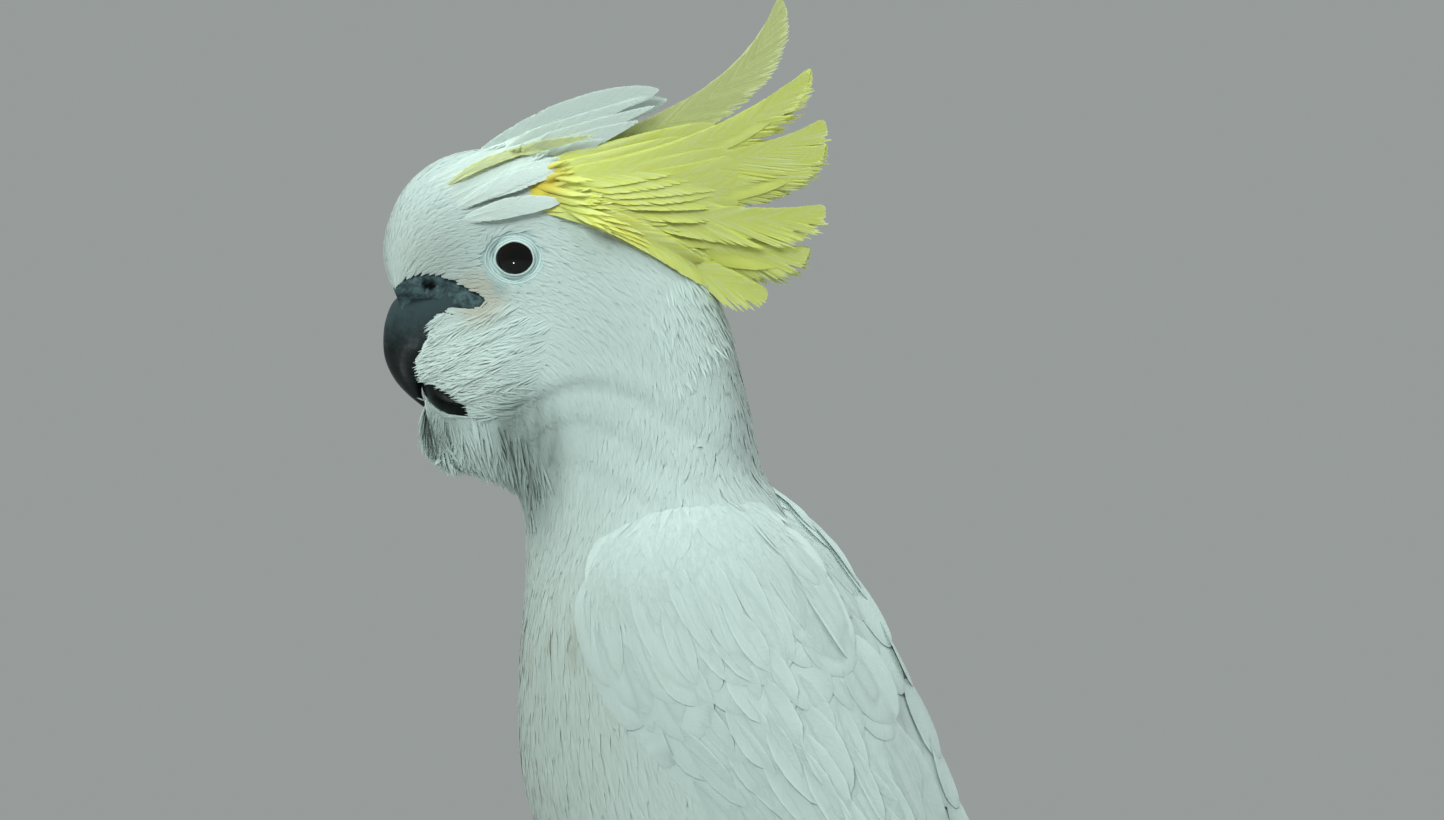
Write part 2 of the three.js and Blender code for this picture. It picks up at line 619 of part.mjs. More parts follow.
// Neck, trunk and tail, cut back from the wings and thighs that lie on them.
function trunkPieces() {
  const wingSpan = [-WING_END_CUT, WING.length - 1 + WING_END_CUT];
  const cutters = SIDES.flatMap(([, side]) => [wing(side, ...wingSpan, GAP), thigh(side, GAP)]);
  const cutBack = (flesh) => cutters.reduce((left, cutter) => left.subtract(cutter), flesh);
  const neck = bodyLength(HEAD_END + THIN_CUT, NECK_END, HEAD_STEP, 0, 0);
  const trunk = bodyLength(NECK_END + THIN_CUT, BODY.length - 1, TRUNK_STEP, 0, 0).subtract(tail(GAP));
  return [
    mesh("neck", cutBack(neck), "plumage"),
    mesh("trunk", cutBack(trunk), "plumage"),
    mesh("tail", cutBack(tail(0)), "plumage"),
  ];
}

const bird = new THREE.Group();
bird.position.z = PERCH_TOP;

const headGroup = new THREE.Group();
headGroup.position.x = TURN_AXIS_X;
headGroup.rotation.z = HEAD_TURN;
const headContents = new THREE.Group();
headContents.position.x = -TURN_AXIS_X;
headContents.add(...headPieces());
headGroup.add(headContents);

bird.add(headGroup, ...trunkPieces(), ...SIDES.flatMap(wingPieces), ...SIDES.flatMap(legPieces));
bird.add(mesh("perch", perch(), "branch"));

const rodBottom = STAND.baseHeight + GAP;
const rodLength = PERCH_TOP - 2 * PERCH.radius - GAP - rodBottom;
const base = mesh("stand_base", standBase(), "wood");
const rod = mesh("stand_rod", standRod(rodLength), "steel");
rod.position.z = rodBottom + rodLength / 2;
const collar = mesh("stand_collar", standCollar(), "steel");
collar.position.z = STAND.baseHeight + GAP;

const cockatoo = new THREE.Group();
cockatoo.add(bird, base, rod, collar);

export default cockatoo;
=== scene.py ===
"""Looks for a life-size white cockatoo on a short branch and a plain display stand.

The bird is a skin with feathers laid over it in rows, as closed thin vanes. Shapes are worked out in
millimetres, with heights from the top of the branch, and become metres as they go into a mesh. The
bird faces -X and its left side is -Y. The head's own pieces are shaped as if the head faced -X too,
and are then turned with it.
"""
import math

import bpy
import numpy as np
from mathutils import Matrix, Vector


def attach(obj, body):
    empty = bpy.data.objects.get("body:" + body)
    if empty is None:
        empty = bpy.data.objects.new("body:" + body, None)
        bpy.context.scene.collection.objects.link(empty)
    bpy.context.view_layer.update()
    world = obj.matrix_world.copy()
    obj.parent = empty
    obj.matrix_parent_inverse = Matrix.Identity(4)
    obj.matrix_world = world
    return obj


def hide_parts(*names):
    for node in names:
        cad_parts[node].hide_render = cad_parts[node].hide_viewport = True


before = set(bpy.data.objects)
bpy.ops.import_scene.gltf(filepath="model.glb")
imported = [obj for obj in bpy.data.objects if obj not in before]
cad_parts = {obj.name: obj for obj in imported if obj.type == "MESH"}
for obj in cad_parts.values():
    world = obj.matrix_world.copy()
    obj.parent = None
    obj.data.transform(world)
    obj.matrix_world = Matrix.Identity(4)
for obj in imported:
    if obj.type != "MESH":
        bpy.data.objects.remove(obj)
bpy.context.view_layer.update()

# ---------- driving dimensions ----------

MM = 0.001
FULL_TURN = 2 * math.pi
PERCH_TOP = 190.0
HEAD_TURN = math.radians(18)
TURN_AXIS_X = -22.0
TURN_FROM, TURN_TO = 6.5, 11.6  # stations between which the head's turn fades out

# The feathered body by stations from the bill's base to the tail coverts: the upper edge's x and
# height, the under edge's x and height, the half width, and how far the widest line leans up.
BODY = np.array([
    [-106.5, 299.0, -98.0, 261.0, 10.8, 0.3],
    [-111.8, 305.0, -97.5, 253.0, 12.5, 0.3],
    [-113.0, 318.0, -95.0, 246.5, 14.5, 0.25],
    [-106.0, 336.0, -90.0, 241.0, 18.0, 0.1],
    [-92.0, 347.5, -83.0, 237.5, 21.8, 0.0],
    [-72.0, 351.0, -75.0, 234.0, 25.5, -0.08],
    [-47.0, 345.5, -67.5, 229.5, 27.8, -0.14],
    [-22.0, 332.0, -63.5, 223.0, 29.0, -0.14],
    [0.0, 311.0, -61.5, 214.0, 30.0, -0.12],
    [13.0, 285.0, -60.8, 203.0, 31.5, -0.08],
    [20.5, 257.0, -61.0, 190.0, 34.0, -0.04],
    [25.5, 234.0, -61.8, 176.0, 39.0, 0.0],
    [38.5, 214.0, -62.5, 161.0, 45.5, 0.0],
    [55.5, 192.0, -62.6, 144.0, 50.0, 0.0],
    [70.5, 164.0, -61.5, 126.5, 52.5, 0.0],
    [83.5, 134.0, -57.5, 108.5, 53.0, 0.0],
    [95.5, 104.0, -49.0, 90.0, 51.5, 0.0],
    [105.0, 75.0, -35.0, 72.0, 48.0, 0.0],
    [113.5, 47.0, -14.0, 56.0, 42.5, 0.0],
    [122.5, 20.0, 14.0, 42.0, 36.0, 0.0],
    [131.0, -6.0, 50.0, 25.0, 28.0, 0.0],
    [140.0, -30.0, 86.0, 0.0, 21.0, 0.0],
    [149.0, -52.0, 117.0, -32.0, 16.0, 0.0],
    [157.0, -72.0, 140.0, -64.0, 11.5, 0.0],
])
BODY_END = len(BODY) - 1.0
ROUNDNESS = 0.8  # below 1 the sections are fuller than ellipses
FACE = [  # swellings of the head's sides: station, its span, angle from the top, its span, height
    (3.6, 1.9, 2.15, 0.42, 4.4),  # loose cheek feathers
    (4.3, 1.55, 1.54, 0.36, -10.5),  # lore, by the bill
    (4.2, 1.4, 0.8, 0.35, 1.5),  # brow
]
BILL_SEAT, BILL_SEAT_SPAN = 5.5, 1.5
CREASES = [  # folds round the neck: station at the nape, how far it rises towards the throat, span, depth
    (11.0, 6.1, 0.16, 1.0), (11.8, 6.0, 0.13, 0.6), (12.5, 5.6, 0.13, 0.6),
]

# The folded wing: under edge (x, y, height), upper edge, how far it arches out, and its thickness.
WING = np.array([
    [-9.0, 37.0, 220.0, 22.0, 20.0, 229.5, 5.0, 5.0],
    [-21.0, 41.5, 206.0, 36.5, 17.0, 218.5, 12.0, 8.0],
    [-26.0, 44.5, 185.0, 52.0, 14.5, 201.0, 17.5, 9.5],
    [-17.0, 48.5, 155.0, 71.0, 12.0, 172.0, 21.0, 10.0],
    [0.0, 50.5, 131.0, 84.5, 10.5, 143.0, 21.0, 10.0],
    [20.0, 50.0, 110.0, 96.0, 9.5, 114.0, 19.5, 9.0],
    [42.5, 47.5, 83.0, 107.5, 9.0, 84.0, 17.0, 7.5],
    [67.5, 42.0, 49.0, 119.0, 8.5, 49.0, 13.5, 6.0],
    [92.0, 35.0, 13.0, 131.0, 8.0, 12.0, 10.0, 4.8],
    [114.0, 27.5, -26.0, 144.5, 7.5, -26.0, 7.0, 3.8],
    [137.0, 21.0, -64.0, 157.0, 7.0, -62.0, 4.0, 3.0],
    [164.0, 15.0, -96.0, 171.0, 8.0, -96.0, 1.0, 2.0],
])
WING_EDGE = 0.3
WING_SETTLE = 8.5  # the wing's front lies this much deeper in the coat
WING_ARM_END = 6.0  # the fleshy part of the wing ends at this station

TAIL_ROOT = np.array([112.0, 0.0, 34.0])
TAIL_TIP = np.array([193.5, 0.0, -154.0])
TAIL_FEATHERS = 12

EYE = np.array([-63.5, 15.7, 311.3])
EYE_RADIUS = 9.0
LID_OPENING = (6.95, 6.0)  # half the visible eye's length and height
LID_RING = (11.7, 10.2)  # half the bare ring's length and height

COAT_DEPTH = 1.1  # the skin lies this far under the feathers' outer surface
FACE_COAT_DEPTH = 0.6
BAKE_PATCH = 0.003  # each feather's patch on its piece's bake map
SIDES = (("left", -1.0), ("right", 1.0))

# ---------- surfaces ----------


def spline(table, t):
    """A Catmull-Rom spline through a table's rows, read at stations t, and straight beyond its ends."""
    last = len(table) - 1
    within = np.clip(t, 0, last)
    i = np.clip(np.floor(within).astype(int), 0, last - 1)
    f = (within - i)[..., None]
    a, b, c, d = (table[np.clip(i + k, 0, last)] for k in (-1, 0, 1, 2))
    inner = b + 0.5 * f * (c - a + f * (2 * a - 5 * b + 4 * c - d + f * (3 * (b - c) + d - a)))
    return inner + (t - within)[..., None] * (c - b)


def smoothstep(low, high, v):
    f = np.clip((v - low) / (high - low), 0, 1)
    return f * f * (3 - 2 * f)


def bump(v, centre, span):
    """A Gaussian hill of height 1."""
    return np.exp(-(((v - centre) / span) ** 2))


def given(size, points):
    """A size that is either a number or a function of points."""
    return size(points) if callable(size) else size


def round_angles(count):
    """Evenly spread angles, once round."""
    return np.linspace(0, FULL_TURN, count, endpoint=False)


def unit(v):
    return v / np.maximum(np.linalg.norm(v, axis=-1, keepdims=True), 1e-9)


def dot(a, b):
    return (a * b).sum(-1)


def turned(points, turn):
    """Points turned about the neck's upright axis."""
    x, y, z = points[..., 0] - TURN_AXIS_X, points[..., 1], points[..., 2]
    c, s = np.cos(turn), np.sin(turn)
    return np.stack([TURN_AXIS_X + c * x - s * y, s * x + c * y, z], -1)


def from_head(points):
    """The head's own coordinates, as if it faced -X, to the bird's."""
    return turned(points, HEAD_TURN)


def to_head(points):
    return turned(points, -HEAD_TURN)


def turned_way(way):
    """A direction of the head's own coordinates, turned with it."""
    axis = np.array([TURN_AXIS_X, 0, 0])
    return from_head(way + axis) - axis


def body_point(t, u, grow=0.0):
    """The feathers' outer surface over head, neck and trunk.

    Station t runs from the bill to the tail and u goes round from the upper edge, over the right
    side. A point is the station's middle, plus cos u times its half depth in the middle plane, plus
    its half width times |sin u| to the power ROUNDNESS sideways, plus the face's hills and hollows,
    less the neck's wavy creases, all turned about the neck's axis by the share of the head's turn
    that is left at that station.
    """
    t, u = np.broadcast_arrays(np.asarray(t, float), np.asarray(u, float))
    up_x, up_z, low_x, low_z, half, lean = np.moveaxis(spline(BODY, t), -1, 0)
    sine, cosine = np.sin(u), np.cos(u)
    for station, rise, span, depth in CREASES:
        at = t - station + rise * 0.5 * (1 - cosine) + 0.06 * np.sin(5 * u + 9 * station)
        fold = 0.5 * bump(at, -2.2 * span, 2 * span) - bump(at, 0, span)
        grow = grow + depth * fold * (0.35 + 0.65 * sine**2)
    deep = cosine * (0.5 + grow / np.hypot(up_x - low_x, up_z - low_z))
    x = (up_x + low_x) / 2 + (up_x - low_x) * deep + BILL_SEAT * bump(t, 0, BILL_SEAT_SPAN) * sine**2
    z = (up_z + low_z) / 2 + (up_z - low_z) * deep
    y = (half + grow) * np.abs(sine) ** ROUNDNESS * (1 + lean * cosine)
    angle = np.abs((u + math.pi) % FULL_TURN - math.pi)
    off_middle = np.minimum(1, 3 * np.abs(sine))
    for station, station_span, centre, span, out in FACE:
        y = y + out * bump(t, station, station_span) * bump(angle, centre, span) * off_middle
    turn = HEAD_TURN * (1 - smoothstep(TURN_FROM, TURN_TO, t))
    return turned(np.stack([x, np.sign(sine) * y, z], -1), turn)


def wing_surface(side, face=1.0):
    """The wing's outer face (face 1), inner face (-1) or middle (0), as a function of station and share.

    A point is the share q of the way from the under edge to the upper edge, plus the arch times
    4 q (1 - q) square to the wing, plus half the wing's thickness, thinner at both edges.
    """

    def point(s, q):
        s, q = np.broadcast_arrays(np.asarray(s, float), np.asarray(q, float))
        v, ahead = spline(WING, s), spline(WING, s + 0.05)
        mirror = np.array([1.0, side, 1.0])
        low, up = v[..., 0:3] * mirror, v[..., 3:6] * mirror
        way = (ahead[..., 0:3] + ahead[..., 3:6] - v[..., 0:3] - v[..., 3:6]) * np.array([1.0, 0.0, 1.0])
        out = unit(np.cross(up - low, way))
        out = out * np.sign(out[..., 1:2] * side)
        bulk = WING_EDGE + (1 - WING_EDGE) * np.sqrt(np.sin(math.pi * np.clip(q, 0, 1)))
        rise = v[..., 6] * 4 * q * (1 - q) + face * v[..., 7] * bulk / 2
        rise = rise - WING_SETTLE * (1 - smoothstep(-0.4, 2.2, s))
        return low + (up - low) * q[..., None] + out * rise[..., None]

    return point


def tail_surface(f, q):
    """The tail's upper face: f from root to tip, q from the left edge (-1) to the right (1), arched."""
    f, q = np.broadcast_arrays(np.asarray(f, float), np.asarray(q, float))
    way = TAIL_TIP - TAIL_ROOT
    back = unit(np.array([-way[2], 0.0, way[0]]))
    half = 13 + 18 * np.sqrt(np.clip(f, 0, 1))
    lift = 5.5 / 2 * (1 - f) + 0.8 * f - 3.5 * q * q
    flat = TAIL_ROOT + way * f[..., None] + back * lift[..., None]
    return flat + np.stack([np.zeros_like(f), q * half, np.zeros_like(f)], -1)


def basis(surface, a, b, outward):
    """A surface's points, its two tangents by small differences, and its outward normals."""
    da, db = 0.02, 0.01
    along = (surface(a + da, b) - surface(a - da, b)) / (2 * da)
    across = (surface(a, b + db) - surface(a, b - db)) / (2 * db)
    return surface(a, b), along, across, unit(np.cross(along, across)) * outward


def inside(outline, x, z):
    """True for points within a closed outline: a ray from the point crosses it an odd number of times."""
    x, z = x[..., None], z[..., None]
    x0, z0 = outline.T
    x1, z1 = np.roll(outline, -1, axis=0).T
    crosses = ((z0 > z) != (z1 > z)) & (x < (x1 - x0) * (z - z0) / (z1 - z0 + 1e-12) + x0)
    return crosses.sum(-1) % 2 == 1


# ---------- meshes ----------


def enclosed(points, faces):
    """The volume inside closed faces: a sixth of the sum of a . (b x c) over their triangles."""
    total = 0.0
    for face in faces:
        a = points[face[:, 0]]
        for k in range(1, face.shape[1] - 1):
            total += dot(a, np.cross(points[face[:, k]], points[face[:, k + 1]])).sum() / 6
    return total


def make_object(name, points, material, replaces=(), faces=None, layers=None, values=None, rim=None):
    """A piece from points in millimetres: a grid of rings, or any points with index arrays of faces.

    layers are UV maps and values are attributes, given by point. Edges between two rim points are
    sharp, so that a thin vane's face is shaded smoothly right up to its edge.
    """
    faces = faces or tube_faces(*points.shape[:2])
    mesh = bpy.data.meshes.new(name)
    points = (points.reshape(-1, 3) + np.array([0, 0, PERCH_TOP])) * MM
    if enclosed(points, faces) < 0:
        faces = [f[:, ::-1] for f in faces]
    loops = np.concatenate([f.ravel() for f in faces])
    sizes = np.concatenate([np.full(len(f), f.shape[1]) for f in faces])
    starts = np.concatenate([[0], np.cumsum(sizes)[:-1]])
    mesh.vertices.add(len(points))
    mesh.vertices.foreach_set("co", points.ravel())
    mesh.loops.add(len(loops))
    mesh.loops.foreach_set("vertex_index", loops.astype(np.int32))
    mesh.polygons.add(len(sizes))
    mesh.polygons.foreach_set("loop_start", starts.astype(np.int32))
    mesh.update(calc_edges=True)
    mesh.shade_smooth()
    for layer, coordinates in (layers or {}).items():
        corners = coordinates.reshape(-1, 2)[loops].astype(np.float32)
        mesh.uv_layers.new(name=layer).uv.foreach_set("vector", corners.ravel())
    for value, numbers in (values or {}).items():
        data = mesh.attributes.new(value, "FLOAT", "POINT").data
        data.foreach_set("value", numbers.astype(np.float32).ravel())
    if rim is not None:
        ends = np.empty(len(mesh.edges) * 2, np.int32)
        mesh.edges.foreach_get("vertices", ends)
        sharp = rim[ends].reshape(-1, 2).all(1)
        mesh.attributes.new("sharp_edge", "BOOLEAN", "EDGE").data.foreach_set("value", sharp)
    mesh.materials.append(material)
    made = bpy.data.objects.new(name, mesh)
    bpy.context.scene.collection.objects.link(made)
    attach(made, "root")
    if replaces:
        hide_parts(*replaces)


def quads(rows, columns, closed=0):
    """Quads between neighbouring rings, and from the last ring back to the first if closed is 1."""
    r, c = np.meshgrid(np.arange(rows - 1 + closed), np.arange(columns), indexing="ij")
    nr, nc = (r + 1) % rows, (c + 1) % columns
    corners = [r * columns + c, nr * columns + c, nr * columns + nc, r * columns + nc]
    return np.stack(corners, -1).reshape(-1, 4)


def tube_faces(rows, columns, first=0):
    """Quads between rings, and one flat cap at each end."""
    ring = np.arange(columns)
    caps = np.stack([ring, (rows - 1) * columns + ring[::-1]])
    return quads(rows, columns) + first, caps + first


def joined(shells):
    """Several tubes, each a grid of rings, as one set of points and faces."""
    faces, first = [], 0
    for shell in shells:
        rows, columns = shell.shape[:2]
        faces += tube_faces(rows, columns, first)
        first += rows * columns
    return np.concatenate([shell.reshape(-1, 3) for shell in shells]), faces


def tube(path, radius, columns=24, bumps=None, flat=1.0):
    """Rings square to a path: radius times (cos u, flat * sin u), plus bumps(share along, u)."""
    path = np.asarray(path, float)
    ahead = unit(np.gradient(path, axis=0))
    side = unit(np.cross(ahead, [0.02, 0.05, 1.0]))
    up = np.cross(side, ahead)
    u = round_angles(columns)
    share = np.linspace(0, 1, len(path))[:, None]
    reach = np.asarray(radius, float)[:, None] + (bumps(share, u) if bumps else 0)
    return (
        path[:, None]
        + side[:, None] * (reach * np.cos(u))[..., None]
        + up[:, None] * (reach * np.sin(u) * flat)[..., None]
    )


def smooth_path(points, count):
    """A Catmull-Rom curve through points, read at evenly spread stations."""
    return spline(points, np.linspace(0, len(points) - 1, count))


# ---------- feathers ----------

# A vane's sections: columns as (sideways, up), from edge to edge over the top and back beneath.
FINE_SECTION = np.array([(-1, 0), (0, 1), (1, 0), (0, -0.6)])
UNDERSIDE = [(0.5, -0.5), (0, -0.6), (-0.5, -0.5)]
COVERT_SECTION = np.array(
    [(-1, 0), (-0.7, 0.6), (-0.35, 0.9), (0, 1.1), (0.35, 0.9), (0.7, 0.6), (1, 0)] + UNDERSIDE
)
BROAD_SECTION = np.array([(-1, 0), (-0.55, 0.8), (0, 1.15), (0.55, 0.8), (1, 0)] + UNDERSIDE)


class Feathers:
    """A batch of vanes: points (feathers, rows, columns, 3) with their layers and values.

    The Barb map runs sideways in u, and in v along the barbs' spread: cos splay times the distance
    from the root, less sin splay times the distance from the shaft. Both are in centimetres.
    """

    def __init__(self, points, half, along, root_uv, section, splay, tone):
        self.points = points
        count, rows, columns = points.shape[:3]
        shape = (count, rows, columns)
        c, r = np.arange(columns) / (columns - 1) - 0.5, np.linspace(-0.5, 0.5, rows)[:, None]
        patch = np.stack(np.broadcast_arrays(c, r), -1) * BAKE_PATCH
        self.bake = root_uv[:, None, None] + patch
        across = half[..., None] * section[:, 0]
        barb = along[..., None] * math.cos(splay) - np.abs(across) * math.sin(splay)
        drift = tone[:, None, None] * 37.0
        self.barb = np.stack([across + drift, barb + 3 * drift], -1) / 10
        self.tone = np.broadcast_to(tone[:, None, None], shape)
        self.tip = np.broadcast_to(np.linspace(0, 1, rows)[:, None], shape)
        self.under = np.broadcast_to((section[:, 1] < 0).astype(float), shape)
        ends = np.isin(np.arange(rows), (0, rows - 1))[:, None]
        self.rim = np.broadcast_to((section[:, 1] == 0) | ends, shape)


def feather_piece(name, batches, material, replaces=()):
    """One mesh of all the batches' vanes, each closed by a cap at both ends."""
    faces, first = [], 0
    for batch in batches:
        count, rows, columns = batch.points.shape[:3]
        starts = first + np.arange(count)[:, None, None] * rows * columns
        for face in tube_faces(rows, columns):
            faces.append((face[None] + starts).reshape(-1, face.shape[1]))
        first += count * rows * columns

    def flat(attribute, *width):
        return np.concatenate([getattr(batch, attribute).reshape(-1, *width) for batch in batches])

    layers = {"OFBake": flat("bake", 2), "Barb": flat("barb", 2)}
    values = {value: flat(value) for value in ("tone", "tip", "under")}
    make_object(name, flat("points", 3), material, replaces, faces, layers, values, flat("rim"))


def rows_over(surface, a_span, b_span, along, across, seed, jitter=0.28):
    """Roots in rows over a surface: every `along` millimetres down each line of b there is a row, and
    every `across` millimetres along a row a root, set off by half a step in alternate rows."""
    rng = np.random.default_rng(seed)
    a, b = np.linspace(*a_span, 300), np.linspace(*b_span, 361)
    grid = surface(a[:, None], b[None, :])
    middle = (grid[1:] + grid[:-1]) / 2
    step = np.linalg.norm(np.diff(grid, axis=0), axis=-1) / given(along, middle)
    depth = np.concatenate([np.zeros((1, len(b))), np.cumsum(step, axis=0)])
    roots = []
    for k in range(1, int(depth.max()) + 1):
        reached = depth[-1] > k
        i = np.clip((depth < k).sum(0), 1, len(a) - 1)
        columns = np.arange(len(b))
        share = (k - depth[i - 1, columns]) / (depth[i, columns] - depth[i - 1, columns] + 1e-9)
        at = a[i - 1] + np.clip(share, 0, 1) * (a[i] - a[i - 1])
        line = surface(at, b)
        gaps = np.linalg.norm(np.diff(line, axis=0), axis=-1) / given(across, (line[1:] + line[:-1]) / 2)
        length = np.concatenate([[0], np.cumsum(gaps)])
        want = np.arange(int(length[-1])) + 0.5 * (k % 2) + 0.25
        want = want + rng.uniform(-jitter, jitter, len(want))
        b_at = np.interp(want, length, b)
        a_at = np.interp(b_at, b, at)
        keep = np.interp(b_at, b, reached.astype(float)) > 0.99
        row_gap = np.interp(b_at, b, (a[i] - a[i - 1]) / (step[i - 1, columns] + 1e-9))
        a_at = a_at + rng.uniform(-jitter, jitter, len(a_at)) * row_gap
        roots.append(np.stack([a_at, b_at], -1)[keep])
    return np.concatenate(roots).T


def vane_batch(spine, up, half, along, root_uv, section, thick, camber, fray, splay, rng):
    """Closed vanes about their spines, given as (feathers, rows, 3).

    A point is its row's spine point, plus the half width there times the section's place sideways,
    plus the thickness times its place up, less camber times the half width times that place squared.
    """
    ahead = unit(np.gradient(spine, axis=1))
    side = unit(np.cross(up, ahead))
    up = np.cross(ahead, side)
    over = section[:, 0]
    ragged = 1 + fray * rng.uniform(-1, 1, (*half.shape, 2)) * np.linspace(0, 1, half.shape[1])[:, None]
    reach = half[..., None] * np.where(over < 0, ragged[..., :1], ragged[..., 1:]) * over
    fullness = half / np.maximum(half.max(1, keepdims=True), 1e-6)
    rise = thick * fullness[..., None] * section[:, 1] - camber * half[..., None] * over**2
    points = spine[:, :, None] + side[:, :, None] * reach[..., None] + up[:, :, None] * rise[..., None]
    return Feathers(points, half, along, root_uv, section, splay, rng.random(len(spine)))


def vanes(surface, outward, roots, steps, length, half, shape, section, thick, sink, lift, rng, unwrap,
          camber=0.15, fray=0.0, splay=1.35, keep=None):
    """Vanes that follow a surface from their roots, by straight steps in its two parameters.

    Each spine lies on the surface, from sink under it at the root to lift above it at the tip.
    """
    a, b = roots
    da, db = steps
    s, wide = np.array(shape).T
    on, _, _, up = basis(surface, a[:, None] + da[:, None] * s, b[:, None] + db[:, None] * s, outward)
    height = np.asarray(lift)[..., None] * s**2 - np.asarray(sink)[..., None] * (1 - s) ** 1.4
    spine = on + up * np.broadcast_to(height, on.shape[:2])[..., None]
    width, along = half[:, None] * wide, length[:, None] * s
    root_uv = unwrap(a, b)
    if keep is not None:
        kept = keep(spine)
        spine, up, width, along, root_uv = spine[kept], up[kept], width[kept], along[kept], root_uv[kept]
    return vane_batch(spine, up, width, along, root_uv, section, thick, camber, fray, splay, rng)


def lay(surface, outward, roots, length, half, shape, section, thick, sink, lift, seed, unwrap,
        heading=None, stray=0.08, toss=0.12, **more):
    """Vanes laid from roots the way that heading points, or along the surface's first parameter.

    The steps in the two parameters solve the tangents' 2 by 2 equations for that way and length.
    """
    rng = np.random.default_rng(seed)
    point, along, across, normal = basis(surface, *roots, outward)
    way = unit(along)
    if heading is not None:
        way = heading(point, way, normal)
        way = unit(way - normal * dot(way, normal)[:, None])
    yaw = rng.normal(0, stray, len(point))[:, None]
    way = way * np.cos(yaw) + np.cross(normal, way) * np.sin(yaw)
    size = rng.uniform(1 - toss, 1 + toss, len(point))
    given_at = (np.broadcast_to(given(v, point), size.shape) for v in (length, half, sink, lift))
    length, half, sink, lift = given_at
    length, half = length * size, half * size
    g11, g12, g22 = dot(along, along), dot(along, across), dot(across, across)
    r1, r2 = dot(along, way) * length, dot(across, way) * length
    det = g11 * g22 - g12**2 + 1e-9
    steps = (g22 * r1 - g12 * r2) / det, (g11 * r2 - g12 * r1) / det
    lift = lift + rng.normal(0, 0.04, len(point)) * np.minimum(1, sink)
    return vanes(surface, outward, roots, steps, length, half, shape, section, thick, sink, lift, rng,
                 unwrap, **more)


def bake_uv(across, along):
    """A bake map's coordinates from two shares, with room left at its edges."""
    return np.stack([0.02 + 0.96 * across, 0.02 + 0.96 * np.clip(along, 0, 1)], -1)


def body_unwrap(t, u):
    return bake_uv(u / FULL_TURN, t / BODY_END)


def wing_unwrap(s, q):
    return bake_uv(np.clip(q, 0, 1), s / 11)


def back_unwrap(s, v):
    return bake_uv((v + 1) / 2, (s + 1) / 12)


def tail_unwrap(f, q):
    return bake_uv((q + 1) / 2, f)


def thigh_unwrap(f, u):
    return np.stack([0.02 + 0.96 * u / FULL_TURN, 0.2 + 0.78 * f], -1)


# ---------- materials ----------


def operator(operation, reflected=False):
    """An arithmetic method that adds a Math node."""

    def apply(value, other):
        first, second = (other, value) if reflected else (value, other)
        return value.finish.node("ShaderNodeMath", {"operation": operation}, {0: first, 1: second})

    return apply


class Value:
    """A shader socket that takes part in arithmetic."""

    def __init__(self, finish, socket):
        self.finish, self.socket = finish, socket

    __add__ = __radd__ = operator("ADD")
    __mul__ = __rmul__ = operator("MULTIPLY")
    __sub__, __rsub__ = operator("SUBTRACT"), operator("SUBTRACT", True)


